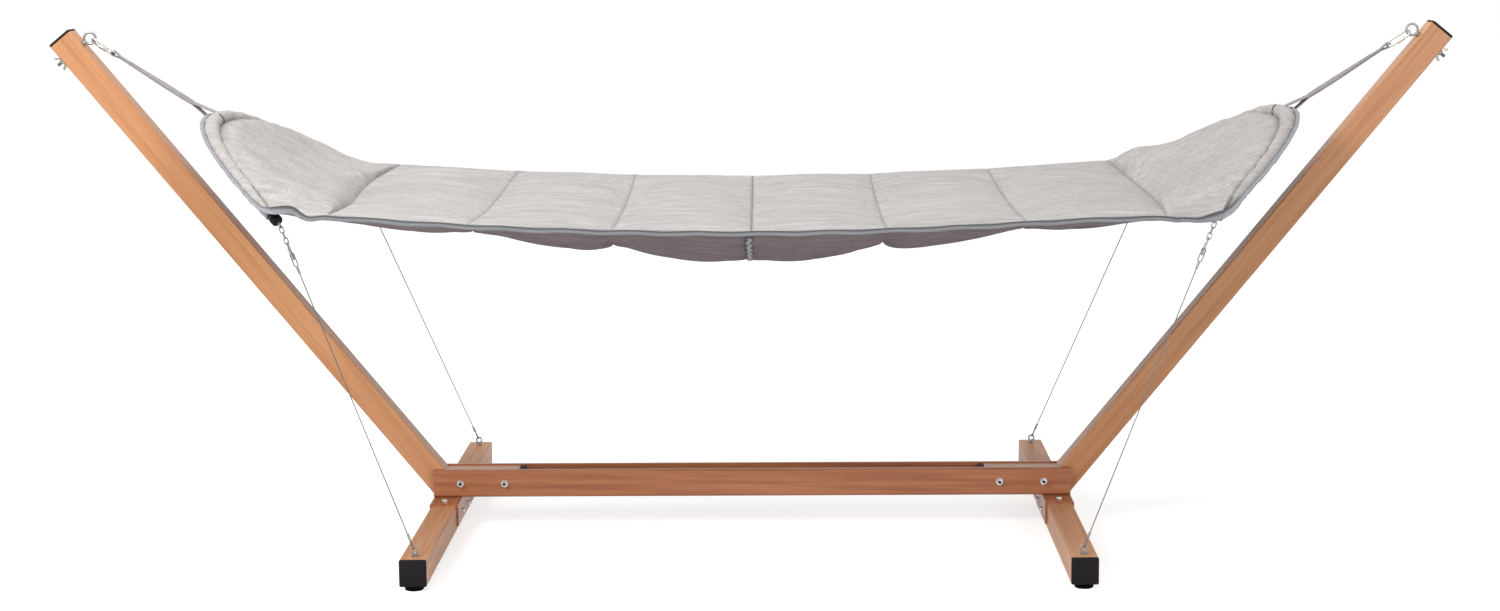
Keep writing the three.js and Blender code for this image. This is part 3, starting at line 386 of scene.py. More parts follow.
def facing(origin, direction):
    """A matrix whose own z runs along a direction"""
    matrix = Vector(direction).to_track_quat("Z", "Y").to_matrix().to_4x4()
    matrix.translation = origin
    return matrix


def end_matrix(turn):
    return Matrix.Rotation(0 if turn > 0 else math.pi, 4, "Z")


def circle(radius, count, z=0.0):
    turns = [2 * math.pi * i / count for i in range(count)]
    return [Vector((radius * math.cos(t), radius * math.sin(t), z)) for t in turns]


def arc(x, y, radius, start, stop, count):
    return [(x + radius * math.cos(t), y + radius * math.sin(t)) for t in np.linspace(start, stop, count)]


def lathe(name, profile, matrix, material, count=32):
    """A turned piece: profile pairs of radius and height about the matrix's own z"""
    loops = [[matrix @ p for p in circle(max(r, 1e-5), count, z)] for r, z in profile]
    return lofted(name, loops, material)


def square_loop(side, corner, z):
    points = []
    steps = 5
    reach = side / 2 - corner
    for quarter in range(4):
        cx = reach if quarter in (0, 3) else -reach
        cy = reach if quarter < 2 else -reach
        for step in range(steps + 1):
            angle = (quarter + step / steps) * math.pi / 2
            points.append(Vector((cx + corner * math.cos(angle), cy + corner * math.sin(angle), z)))
    return points


def hex_loop(across, z, count=24):
    """A hexagon with points along its sides"""
    radius = across / math.sqrt(3)
    turns = [math.pi * k / 3 for k in range(6)]
    corners = [Vector((radius * math.cos(t), radius * math.sin(t), z)) for t in turns]
    per = count // 6
    return [corners[k].lerp(corners[(k + 1) % 6], i / per) for k in range(6) for i in range(per)]


# ---- Geometry node groups


def once(name):
    """Gives a builder's node group from the file when it is there already"""
    return lambda build: lambda: bpy.data.node_groups.get(name) or build(name)


def new_interface(group, inputs, outputs):
    """Adds the named sockets, and gives the group with its two end nodes"""
    for label, kind, *value in inputs:
        socket = group.interface.new_socket(label, in_out="INPUT", socket_type=kind)
        if value:
            socket.default_value = value[0]
    for label, kind in outputs:
        group.interface.new_socket(label, in_out="OUTPUT", socket_type=kind)
    return group, group.nodes.new("NodeGroupInput"), group.nodes.new("NodeGroupOutput")


def wired(tree, links):
    """Links nodes, each link as source, output, target and input"""
    for source, output, target, socket in links:
        tree.links.new(source.outputs[output], target.inputs[socket])


def node_group(name, inputs):
    group = bpy.data.node_groups.new(name, "GeometryNodeTree")
    return new_interface(group, inputs, [("Mesh", "NodeSocketGeometry")])


@once("Round wire")
def wire_group(name):
    """A round wire along a curve"""
    group, enter, leave = node_group(
        name,
        [
            ("Curve", "NodeSocketGeometry"),
            ("Radius", "NodeSocketFloat"),
            ("Sides", "NodeSocketInt"),
            ("Material", "NodeSocketMaterial"),
        ],
    )
    ring = group.nodes.new("GeometryNodeCurvePrimitiveCircle")
    sweep = group.nodes.new("GeometryNodeCurveToMesh")
    sweep.inputs["Fill Caps"].default_value = True
    smooth = group.nodes.new("GeometryNodeSetShadeSmooth")
    paint = group.nodes.new("GeometryNodeSetMaterial")
    wired(group, (
        (enter, "Radius", ring, "Radius"),
        (enter, "Sides", ring, "Resolution"),
        (enter, "Curve", sweep, "Curve"),
        (ring, "Curve", sweep, "Profile Curve"),
        (sweep, "Mesh", smooth, "Geometry"),
        (smooth, "Geometry", paint, "Geometry"),
        (enter, "Material", paint, "Material"),
        (paint, "Geometry", leave, "Mesh"),
    ))
    return group


@once("Stitches")
def stitch_group(name):
    """Short stitches repeated along a curve"""
    group, enter, leave = node_group(
        name,
        [
            ("Curve", "NodeSocketGeometry"),
            ("Spacing", "NodeSocketFloat"),
            ("Stitch length", "NodeSocketFloat"),
            ("Thread radius", "NodeSocketFloat"),
            ("Material", "NodeSocketMaterial"),
        ],
    )
    spread = group.nodes.new("GeometryNodeResampleCurve")
    spread.mode = "LENGTH"
    tangent = group.nodes.new("GeometryNodeInputTangent")
    align = group.nodes.new("FunctionNodeAlignEulerToVector")
    align.axis = "Z"
    thread = group.nodes.new("GeometryNodeMeshCylinder")
    thread.inputs["Vertices"].default_value = 6
    place = group.nodes.new("GeometryNodeInstanceOnPoints")
    real = group.nodes.new("GeometryNodeRealizeInstances")
    paint = group.nodes.new("GeometryNodeSetMaterial")
    wired(group, (
        (enter, "Curve", spread, "Curve"),
        (enter, "Spacing", spread, "Length"),
        (tangent, "Tangent", align, "Vector"),
        (enter, "Stitch length", thread, "Depth"),
        (enter, "Thread radius", thread, "Radius"),
        (spread, "Curve", place, "Points"),
        (thread, "Mesh", place, "Instance"),
        (align, "Rotation", place, "Rotation"),
        (place, "Instances", real, "Geometry"),
        (real, "Geometry", paint, "Geometry"),
        (enter, "Material", paint, "Material"),
        (paint, "Geometry", leave, "Mesh"),
    ))
    return group


def curve_object(name, points, cyclic):
    data = bpy.data.curves.new(name, "CURVE")
    data.dimensions = "3D"
    spline = data.splines.new("POLY")
    spline.points.add(len(points) - 1)
    for target, point in zip(spline.points, points):
        target.co = (*point, 1)
    spline.use_cyclic_u = cyclic
    return link_object(bpy.data.objects.new(name, data))


def through_nodes(name, points, group, values, cyclic=False):
    """A plain mesh made from a line of points by a geometry node group"""
    carrier = curve_object(name + "_line", points, cyclic)
    modifier = carrier.modifiers.new("shape", "NODES")
    modifier.node_group = group
    for item in group.interface.items_tree:
        if item.in_out == "INPUT" and item.name in values:
            modifier[item.identifier] = values[item.name]
    graph = bpy.context.evaluated_depsgraph_get()
    graph.update()
    mesh = bpy.data.meshes.new_from_object(carrier.evaluated_get(graph), depsgraph=graph)
    data = carrier.data
    carrier.modifiers.clear()
    bpy.data.objects.remove(carrier)
    bpy.data.curves.remove(data)
    mesh.name = name
    return link_object(bpy.data.objects.new(name, mesh))


def wire(name, points, radius, material, cyclic=False, sides=14):
    values = {"Radius": radius, "Sides": sides, "Material": material}
    return outward(through_nodes(name, points, wire_group(), values, cyclic))


def stitches(name, points, material, spacing, length, radius):
    values = {"Spacing": spacing, "Stitch length": length, "Thread radius": radius, "Material": material}
    return through_nodes(name, points, stitch_group(), values)


def ring_points(radius, matrix, count=40):
    return [matrix @ p for p in circle(radius, count)]


def stadium_points(length, width, matrix):
    """Centreline of a link whose length runs along the matrix's own x"""
    steps = 12
    radius = width / 2
    reach = length / 2 - radius
    points = []
    for sign, start in ((1, -math.pi / 2), (-1, math.pi / 2)):
        for step in range(steps + 1):
            angle = start + math.pi * step / steps
            points.append(matrix @ Vector((sign * reach + radius * math.cos(angle), radius * math.sin(angle), 0)))
    return points


# ---- Finishes


def shader_group(name, inputs):
    group = bpy.data.node_groups.new(name, "ShaderNodeTree")
    outputs = [("Color", "NodeSocketColor"), ("Roughness", "NodeSocketFloat"), ("Height", "NodeSocketFloat")]
    return new_interface(group, [("Vector", "NodeSocketVector"), *inputs], outputs)


def add(tree, kind, settings=(), values=()):
    node = tree.nodes.new(kind)
    for key, value in dict(settings).items():
        setattr(node, key, value)
    for key, value in dict(values).items():
        node.inputs[key].default_value = value
    return node


def scaled(tree, source, scale):
    node = add(tree, "ShaderNodeMapping", values={"Scale": scale})
    tree.links.new(source, node.inputs["Vector"])
    return node.outputs["Vector"]


def noise(tree, source, scale, detail, roughness=0.5, distortion=0.0):
    values = {"Scale": scale, "Detail": detail, "Roughness": roughness, "Distortion": distortion}
    node = add(tree, "ShaderNodeTexNoise", values=values)
    tree.links.new(source, node.inputs["Vector"])
    return node.outputs["Fac"]


def ranged(tree, source, low, high, new_low=0.0, new_high=1.0):
    values = {"From Min": low, "From Max": high, "To Min": new_low, "To Max": new_high}
    node = add(tree, "ShaderNodeMapRange", values=values)
    tree.links.new(source, node.inputs["Value"])
    return node.outputs["Result"]


def maths(tree, operation, first, second):
    node = add(tree, "ShaderNodeMath", {"operation": operation})
    for index, value in enumerate((first, second)):
        if isinstance(value, (int, float)):
            node.inputs[index].default_value = value
        else:
            tree.links.new(value, node.inputs[index])
    return node.outputs["Value"]


def mixed(tree, factor, first, second, blend="MIX"):
    node = add(tree, "ShaderNodeMix", {"data_type": "RGBA", "blend_type": blend})
    for index, value in ((0, factor), (6, first), (7, second)):
        if isinstance(value, (int, float, tuple)):
            node.inputs[index].default_value = value
        else:
            tree.links.new(value, node.inputs[index])
    return node.outputs[2]


def grey(tree, value):
    """A colour with one value in its three channels"""
    node = tree.nodes.new("ShaderNodeCombineColor")
    for channel in ("Red", "Green", "Blue"):
        tree.links.new(value, node.inputs[channel])
    return node.outputs["Color"]


@once("Printed grain")
def grain_group(name):
    """Wood grain that runs along the vector's x, as printed on the tubes"""
    group, enter, leave = shader_group(
        name,
        [
            ("Pale", "NodeSocketColor", (0.6, 0.3, 0.15, 1)),
            ("Deep", "NodeSocketColor", (0.3, 0.12, 0.05, 1)),
        ],
    )
    vector = enter.outputs["Vector"]
    drift = noise(group, scaled(group, vector, (1.1, 9, 9)), 1.0, 2.0)
    streak = noise(group, scaled(group, vector, (3.0, 125, 125)), 1.0, 5.0, 0.66, 0.4)
    fine = noise(group, scaled(group, vector, (9, 420, 420)), 1.0, 3.0, 0.6)
    form = {"wave_type": "BANDS", "bands_direction": "DIAGONAL"}
    values = {"Scale": 1.0, "Distortion": 7.0, "Detail": 3.0, "Detail Scale": 0.9, "Detail Roughness": 0.6}
    wave = add(group, "ShaderNodeTexWave", form, values)
    group.links.new(scaled(group, vector, (0.9, 16, 16)), wave.inputs["Vector"])
    rings = ranged(group, wave.outputs["Fac"], 0.3, 1.0)
    body = maths(group, "MULTIPLY", ranged(group, streak, 0.36, 0.68), 0.5)
    slow = maths(group, "MULTIPLY", ranged(group, drift, 0.35, 0.7), 0.25)
    bands = maths(group, "MULTIPLY", rings, 0.22)
    share = maths(group, "ADD", maths(group, "ADD", body, slow), bands)
    colour = mixed(group, share, enter.outputs["Pale"], enter.outputs["Deep"])
    pores = ranged(group, fine, 0.3, 0.47, 0.9, 1.0)
    colour = mixed(group, 1.0, colour, grey(group, pores), "MULTIPLY")
    group.links.new(colour, leave.inputs["Color"])
    group.links.new(ranged(group, streak, 0.3, 0.7, 0.36, 0.46), leave.inputs["Roughness"])
    group.links.new(streak, leave.inputs["Height"])
    return group


@once("Slub weave")
def weave_group(name):
    """Plain weave with slubs that run along the vector's x"""
    group, enter, leave = shader_group(
        name,
        [
            ("Base", "NodeSocketColor", (0.6, 0.6, 0.6, 1)),
            ("Threads", "NodeSocketFloat", 900.0),
            ("Streaks", "NodeSocketFloat", 60.0),
            ("Contrast", "NodeSocketFloat", 1.0),
        ],
    )
    vector = enter.outputs["Vector"]
    slub = noise(group, scaled(group, vector, (9, 260, 260)), 1.0, 4.0, 0.6)
    warp_slub = noise(group, scaled(group, vector, (420, 24, 24)), 1.0, 2.0, 0.5)
    crease = noise(group, scaled(group, vector, (5.5, 62, 62)), 1.0, 3.0, 0.55, 0.2)
    soft = noise(group, scaled(group, vector, (2.5, 7, 7)), 1.0, 2.0)
    lay = add(group, "ShaderNodeCombineXYZ", values={"X": 6.0})
    group.links.new(enter.outputs["Streaks"], lay.inputs["Y"])
    group.links.new(enter.outputs["Streaks"], lay.inputs["Z"])
    drawn = add(group, "ShaderNodeVectorMath", {"operation": "MULTIPLY"})
    group.links.new(vector, drawn.inputs[0])
    group.links.new(lay.outputs["Vector"], drawn.inputs[1])
    streaks = noise(group, drawn.outputs["Vector"], 1.0, 4.0, 0.65)
    threads = []
    for direction in ("X", "Y"):
        form = {"wave_type": "BANDS", "bands_direction": direction}
        wave = add(group, "ShaderNodeTexWave", form, {"Distortion": 1.2, "Detail": 1.0})
        group.links.new(enter.outputs["Threads"], wave.inputs["Scale"])
        group.links.new(vector, wave.inputs["Vector"])
        threads.append(wave.outputs["Fac"])
    cloth = maths(group, "MULTIPLY", threads[0], threads[1])
    shade = ranged(group, slub, 0.3, 0.7, 0.86, 1.06)
    for source, *span in (
        (warp_slub, 0.3, 0.7, 0.95, 1.03),
        (soft, 0.35, 0.65, 0.965, 1.02),
        (streaks, 0.32, 0.68, 0.9, 1.07),
        (cloth, 0.0, 1.0, 0.93, 1.03),
    ):
        shade = maths(group, "MULTIPLY", shade, ranged(group, source, *span))
    shade = maths(group, "MULTIPLY", maths(group, "SUBTRACT", shade, WEAVE_MEAN), enter.outputs["Contrast"])
    shade = maths(group, "ADD", shade, WEAVE_MEAN)
    shaded = mixed(group, 1.0, enter.outputs["Base"], grey(group, shade), "MULTIPLY")
    group.links.new(shaded, leave.inputs["Color"])
    group.links.new(ranged(group, slub, 0.3, 0.7, 0.86, 0.96), leave.inputs["Roughness"])
    height = maths(group, "ADD", maths(group, "MULTIPLY", slub, 0.35), crease)
    height = maths(group, "ADD", height, maths(group, "MULTIPLY", cloth, 0.06))
    group.links.new(height, leave.inputs["Height"])
    return group


@once("Rubbed surface")
def rub_group(name):
    """Faint handling marks and grain for metal, plastic and rubber"""
    group, enter, leave = shader_group(
        name,
        [
            ("Base", "NodeSocketColor", (0.5, 0.5, 0.5, 1)),
            ("Smooth", "NodeSocketFloat", 0.25),
            ("Rough", "NodeSocketFloat", 0.4),
            ("Grain", "NodeSocketFloat", 600.0),
        ],
    )
    vector = enter.outputs["Vector"]
    broad = noise(group, vector, 55.0, 4.0, 0.6)
    node = add(group, "ShaderNodeTexNoise", values={"Detail": 2.0})
    group.links.new(vector, node.inputs["Vector"])
    group.links.new(enter.outputs["Grain"], node.inputs["Scale"])
    span = add(group, "ShaderNodeMapRange", values={"From Min": 0.3, "From Max": 0.7})
    group.links.new(broad, span.inputs["Value"])
    group.links.new(enter.outputs["Smooth"], span.inputs["To Min"])
    group.links.new(enter.outputs["Rough"], span.inputs["To Max"])
    shade = ranged(group, broad, 0.3, 0.7, 0.88, 1.06)
    shaded = mixed(group, 1.0, enter.outputs["Base"], grey(group, shade), "MULTIPLY")
    group.links.new(shaded, leave.inputs["Color"])
    group.links.new(span.outputs["Result"], leave.inputs["Roughness"])
    group.links.new(node.outputs["Fac"], leave.inputs["Height"])
    return group


def finish_material(name, group, values, turn, bump, constants=(), seams=0.0, seam_shade=0.12):
    """A material of one shader group on object coordinates, turned so that grain or weave runs along x; seams and
    seam_shade paint shade along the 'seam' attribute
    """
    found = bpy.data.materials.get(name)
    if found:
        return found
    material = bpy.data.materials.new(name)
    material.use_nodes = True
    tree = material.node_tree
    shader = tree.nodes["Principled BSDF"]
    coordinates = tree.nodes.new("ShaderNodeTexCoord")
    mapping = add(tree, "ShaderNodeMapping", values={"Rotation": turn})
    effect = add(tree, "ShaderNodeGroup", {"node_tree": group})
    for key, value in values.items():
        effect.inputs[key].default_value = value
    relief = add(tree, "ShaderNodeBump", values={"Strength": bump[0], "Distance": bump[1]})
    link = tree.links.new
    link(coordinates.outputs["Object"], mapping.inputs["Vector"])
    link(mapping.outputs["Vector"], effect.inputs["Vector"])
    colour = effect.outputs["Color"]
    # Painted shade: the 'seam' attribute darkens the colour toward seam_shade in seam grooves, folds and band edges
    if seams:
        seam_shade_attribute = add(tree, "ShaderNodeAttribute", {"attribute_name": "seam"})
        dark = (seam_shade, seam_shade * 0.97, seam_shade * 1.03, 1)
        colour = mixed(tree, maths(tree, "MULTIPLY", seam_shade_attribute.outputs["Fac"], seams), colour, dark)
    link(colour, shader.inputs["Base Color"])
    link(effect.outputs["Roughness"], shader.inputs["Roughness"])
    link(effect.outputs["Height"], relief.inputs["Height"])
    link(relief.outputs["Normal"], shader.inputs["Normal"])
    for key, value in dict(constants).items():
        shader.inputs[key].default_value = value
    material.diffuse_color = (*values.get("Base", values.get("Pale", (0.5, 0.5, 0.5)))[:3], 1)
    return material


def rgba(colour, share=1.0):
    return (*(channel * share for channel in colour), 1.0)


def gloss(level):
    return {"Specular IOR Level": level}


def finishes():
    """The materials by short name"""
    colours = bpy.context.scene.hammock_finish
    made = {}
    slope = bpy.context.scene.hammock_frame.arm_angle
    arm = (colours.arm_pale, colours.arm_deep)
    crosswise = (0, 0, math.pi / 2)
    woods = {
        "right_arm": ((0, slope, 0), *arm),
        "left_arm": ((0, -slope, 0), *arm),
        "beam": (STRAIGHT, colours.beam_pale, colours.beam_deep),
        "foot": (crosswise, colours.foot_pale, colours.foot_deep),
        "saddle": (crosswise, colours.beam_pale, colours.beam_deep),
    }
    for key, (turn, pale, deep) in woods.items():
        grain = {"Pale": rgba(pale), "Deep": rgba(deep)}
        shine = gloss(0.1 if key == "foot" else 0.25 if "arm" in key else 0.4)
        shine.update({"Coat Weight": 0.04 if key == "foot" else 0.2, "Coat Roughness": 0.22})
        made[key] = finish_material("wood_look_" + key, grain_group(), grain, turn, (0.06, 0.0002), shine)
    cloth = {"Sheen Weight": 0.15, "Sheen Roughness": 0.5, "Specular IOR Level": 0.2}
    # The last column gives the share and colour of the painted shade laid along the 'seam' attribute
    for key, name, base, values, bump, seams in (
        ("fabric", "bed_fabric", rgba(colours.fabric), {"Contrast": 1.6}, (0.75, 0.003), (0.85,)),
        # The underside's darker colour is partly its own tone, partly painted shade; its raised contrast paints the
        # shade of its ribs and wrinkles
        ("under", "bed_fabric_under", rgba(colours.under), {"Streaks": 110.0, "Contrast": 2.1}, (0.9, 0.003), (0.5,)),
        ("roll", "roll_fabric", rgba(colours.fabric, 0.93), {"Contrast": 1.35}, (0.5, 0.002), ()),
        ("binding", "edge_binding", rgba(colours.binding), {"Threads": 1400.0}, (0.35, 0.0008), (0.92, 0.05)),
        ("band", "middle_band", rgba(colours.binding, 1.5), {"Threads": 1400.0}, (0.4, 0.001), (0.9, 0.06)),
        ("webbing", "strap_webbing", rgba(colours.webbing), {"Threads": 700.0}, (0.5, 0.0006), ()),
        ("slit", "slit_shadow", (0.07, 0.066, 0.07, 1), {}, (0.3, 0.0005), ()),
    ):
        made[key] = finish_material(name, weave_group(), {"Base": base, **values}, STRAIGHT, bump, cloth, *seams)
    metal = {"Metallic": 1.0}
    for key, name, base, smooth, rough, grain, bump, constants in (
        ("thread", "sewing_thread", rgba(colours.binding, 0.8), 0.6, 0.8, 900.0, (0.1, 0.0001), {}),
        ("steel", "zinc_steel", rgba(colours.steel), 0.28, 0.42, 900.0, (0.08, 0.0001), metal),
        ("bolt", "bolt_steel", rgba(colours.steel, 1.9), 0.28, 0.42, 900.0, (0.08, 0.0001), metal),
        ("rope", "wire_rope", rgba(colours.steel, 0.5), 0.35, 0.5, 900.0, (0.2, 0.0002), metal),
        ("tube", "bow_tube_coat", (0.022, 0.022, 0.025, 1), 0.32, 0.45, 700.0, (0.08, 0.0001), gloss(0.3)),
        ("plastic", "cap_plastic", (0.014, 0.0125, 0.0145, 1), 0.5, 0.68, 1100.0, (0.2, 0.0002), gloss(0.08)),
        ("rubber", "foot_rubber", (0.003, 0.003, 0.003, 1), 0.75, 0.9, 500.0, (0.2, 0.0003), gloss(0.05)),
    ):
        values = {"Base": base, "Smooth": smooth, "Rough": rough, "Grain": grain}
        made[key] = finish_material(name, rub_group(), values, STRAIGHT, bump, constants)
    return made


def paint(node, material):
    """A CAD node's finish"""
    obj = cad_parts[node]
    if isinstance(obj, str):
        obj = bpy.data.objects[obj]
    for holder in obj.material_slots:
        holder.material = material
    return obj


# ---- The bed


class BedForm:
    """The bed's upper and lower surface over u, panels from the middle, and v, from the front edge to the back"""

    def __init__(self):
        self.places = Places(bpy.context.scene.hammock_frame)
        self.bed = bpy.context.scene.hammock_bed
        p, b = self.places, self.bed
        self.start = p.bow_end.x - b.nose_run
        self.end_z = p.bow_end.z + b.above_bow

    def surface(self, u, v):
        """Points through the seams, before any swell"""
        p, b = self.places, self.bed
        size = np.abs(u)
        sign = np.where(u < 0, -1.0, 1.0)
        share = np.clip(size - PER_SIDE, 0, 1)
        flat_x = np.minimum(size, PER_SIDE) * self.start / PER_SIDE
        z = self.end_z - b.end_rise * (1 - (flat_x / self.start) ** 2) - b.sag * (1 - v**2)
        first = np.stack([flat_x, v * b.half_width, z], -1)
        angle = v * (p.sleeve_reach + 0.016 / p.bow_r)
        lift = 0.5 + 1.55 * np.abs(v) ** 1.4
        ending = np.clip((np.abs(v) - 0.8) / 0.2, 0, 1) ** 2
        away = p.roll(v) + 0.0006 + 0.006 * np.sin(lift) - 0.004 * ending
        lean, up = np.array(p.lean), np.array(p.bow_up)
        radial = lean * np.cos(angle)[..., None] + np.array([0, 1, 0]) * np.sin(angle)[..., None]
        last = np.array(p.bow_c) + radial * (p.bow_r - (away * np.cos(lift))[..., None])
        last = last + up * (away * np.sin(lift))[..., None]
        last[..., 1] += np.sign(v) * 0.024 * ending
        last[..., 0] += 0.006 * ending
        reach = (last[..., 0] - first[..., 0]) / 2
        middle = first.copy()
        middle[..., 0] += reach
        middle[..., 2] += reach * 2 * b.end_rise / self.start
        held = np.abs(v) ** 4
        middle[..., 1] = first[..., 1] * (0.5 + 0.5 * held) + last[..., 1] * (0.5 - 0.5 * held)
        s = share[..., None]
        points = first * (1 - s) ** 2 + middle * 2 * s * (1 - s) + last * s**2
        hold = np.clip(1 - (size / (PER_SIDE + 1)) ** 2, 0, 1)
        near = np.where(size < PER_SIDE, (size / PER_SIDE) ** 5, (1 - share) ** 2)
        points[..., 0] += b.bow_out * near * (1 - v**2)
        points[..., 0] += 0.014 * near * np.sin(np.pi * v) * (u < 0)
        points[..., 0] *= sign
        points[..., 2] += b.lie * hold * (0.3 + 0.5 * v) - self.droop(u, v)
        return points

    def droop(self, u, v):
        """How far the front edge hangs down at the two corners"""
        front = ((1 - np.clip(v, -1, 1)) / 2) ** 6
        left = 0.3 * np.exp(-(((u + 3.3) / 0.25) ** 2)) - 0.25 * np.exp(-(((u + 4) / 0.3) ** 2))
        right = np.exp(-(((u - 3.45) / 0.7) ** 2)) * (1 - 0.9 * np.clip((u - 3.5) / 0.5, 0, 1) ** 2)
        return self.bed.droop * front * (left + right)

    def normal(self, u, v):
        step = 0.01
        reach = PER_SIDE + 1
        du = self.surface(np.minimum(u + step, reach), v) - self.surface(np.maximum(u - step, -reach), v)
        dv = self.surface(u, np.minimum(v + step, 1)) - self.surface(u, np.maximum(v - step, -1))
        normal = np.cross(du, dv)
        return normal / np.linalg.norm(normal, axis=-1, keepdims=True)

    def under_depth(self, u, v):
        seams = np.array([0.104, 0.064, 0.036, 0.02, 0.012])
        swells = np.array([0.0205, 0.029, 0.0205, 0.004])
        skews = np.array([0.0, 1.0, 0.15, 0.0])
        size = np.minimum(np.abs(u), PER_SIDE + 1 - 1e-6)
        panel = size.astype(int)
        share = size - panel
        inner, outer = seams[panel], seams[panel + 1]
        leaning = (1 - share) * (1 - np.exp(-share / 0.05))
        round_form = np.clip(np.sin(np.pi * share), 0, 1) ** 0.7
        swell = swells[panel] * (skews[panel] * leaning + (1 - skews[panel]) * round_form)
        depth = inner + (outer - inner) * share + swell
        across = np.clip(1 - v**2, 0, 1) ** 0.8
        return self.bed.rim + (depth - self.bed.rim) * across

    def gathers(self, u, v, seed):
        """Gathers that run out from the seams, and ripples inside the panels"""
        b = self.bed
        size = np.abs(np.sin(np.pi * u))
        panel = np.floor(u + PER_SIDE + 1)
        y = v * b.half_width
        x = u * SEAM_SPACING
        phase = panel * 2.4 + seed
        near = np.exp(-((size / 0.42) ** 2)) * np.clip(size / 0.08, 0, 1)
        lines = np.sin(y * 190 + 5 * np.sin(phase) + 1.1 * np.sin(x * 21 + phase))
        lines += 0.8 * np.sin(y * 118 + phase * 1.7 + 1.6 * np.sin(x * 12 + 2 * phase))
        lines += 0.5 * np.sin(y * 311 + phase * 0.9 + 0.9 * np.sin(x * 30))
        ripple = np.sin(y * 62 + 2.1 * np.sin(x * 9 + phase) + phase)
        ripple += 0.7 * np.sin(y * 97 + 1.7 * np.sin(x * 14 - phase) + 2.2 * phase)
        ripple += 0.5 * np.sin(y * 33 + 1.2 * np.sin(x * 5 + phase))
        edge = np.clip((1 - np.abs(v)) / 0.06, 0, 1)
        return edge * (b.pucker * near * lines / 1.6 + b.ripple * size * ripple / 1.6)

    def top(self, u, v):
        b = self.bed
        nose = np.clip(np.abs(u) - PER_SIDE, 0, 1)
        bump = np.abs(np.sin(np.pi * u)) ** 0.5
        pillow = 1.55 * nose**0.42 * (1 - nose) ** 0.42 * (1.1 - 0.35 * nose)
        puff = 1 + 0.75 * np.exp(-(((u - 3.3) / 0.3) ** 2) - ((v - 0.8) / 0.4) ** 2)
        puff -= 0.65 * np.exp(-(((u + 3.55) / 0.45) ** 2) - ((v - 0.8) / 0.5) ** 2)
        puff -= 0.25 * np.exp(-(((u - 3.75) / 0.25) ** 2) - ((v - 0.8) / 0.4) ** 2)
        swell = np.where(nose > 0, b.nose_crown * pillow * puff, b.crown * bump) * (1 - np.abs(v) ** 6)
        points = self.surface(u, v) + self.normal(u, v) * swell[..., None]
        points[..., 0] += 0.014 * (1 - v) / 2 * np.exp(-(((u + 0.5) / 0.95) ** 2))
        return points

    def under(self, u, v):
        return self.surface(u, v) - self.normal(u, v) * self.under_depth(u, v)[..., None]


def bed_lines(cells):
    """Values of u, closer together at the seams"""
    lines = []
    for panel in range(-PER_SIDE - 1, PER_SIDE + 1):
        for cell in range(cells):
            share = cell / cells
            eased = (1 - math.cos(math.pi * share)) / 2
            lines.append(panel + 0.35 * share + 0.65 * eased)
    return np.array(lines + [PER_SIDE + 1.0])


def swollen(obj, pinned, calm):
    """Cloth filled by pressure between its seams, with a little spare cloth that falls into folds"""
    b = bpy.context.scene.hammock_bed
    before = np.empty(len(obj.data.vertices) * 3)
    obj.data.vertices.foreach_get("co", before)
    before = before.reshape(-1, 3)
    group = obj.vertex_groups.new(name="pinned")
    group.add([int(i) for i in pinned], 1.0, "ADD")
    loose = obj.vertex_groups.new(name="loose")
    for level in np.unique(calm):
        loose.add([int(i) for i in np.flatnonzero(calm == level)], float(level), "ADD")
    cloth = obj.modifiers.new("swell", "CLOTH")
    settings = cloth.settings
    settings.vertex_group_mass = "pinned"
    settings.quality = 5
    settings.mass = 0.25
    settings.tension_stiffness = settings.compression_stiffness = 12
    settings.shear_stiffness = 4
    settings.bending_stiffness = 0.25
    settings.use_pressure = True
    settings.uniform_pressure_force = b.pressure
    settings.vertex_group_shrink = "loose"
    settings.shrink_min = 0.0
    settings.shrink_max = -b.slack
    settings.effector_weights.gravity = 0
    cloth.point_cache.frame_start, cloth.point_cache.frame_end = 1, CLOTH_FRAMES
    scene = bpy.context.scene
    for frame_number in range(1, CLOTH_FRAMES + 1):
        scene.frame_set(frame_number)
    graph = bpy.context.evaluated_depsgraph_get()
    after = np.empty(len(before) * 3)
    obj.evaluated_get(graph).data.vertices.foreach_get("co", after)
    obj.modifiers.clear()
    obj.vertex_groups.clear()
    scene.frame_set(1)
    move = after.reshape(-1, 3) - before
    reach = np.linalg.norm(move, axis=1)
    move *= (np.minimum(reach, b.cap * (0.4 + 0.6 * calm)) / np.maximum(reach, 1e-9))[:, None]
    obj.data.vertices.foreach_set("co", (before + move).ravel())
    obj.data.update()


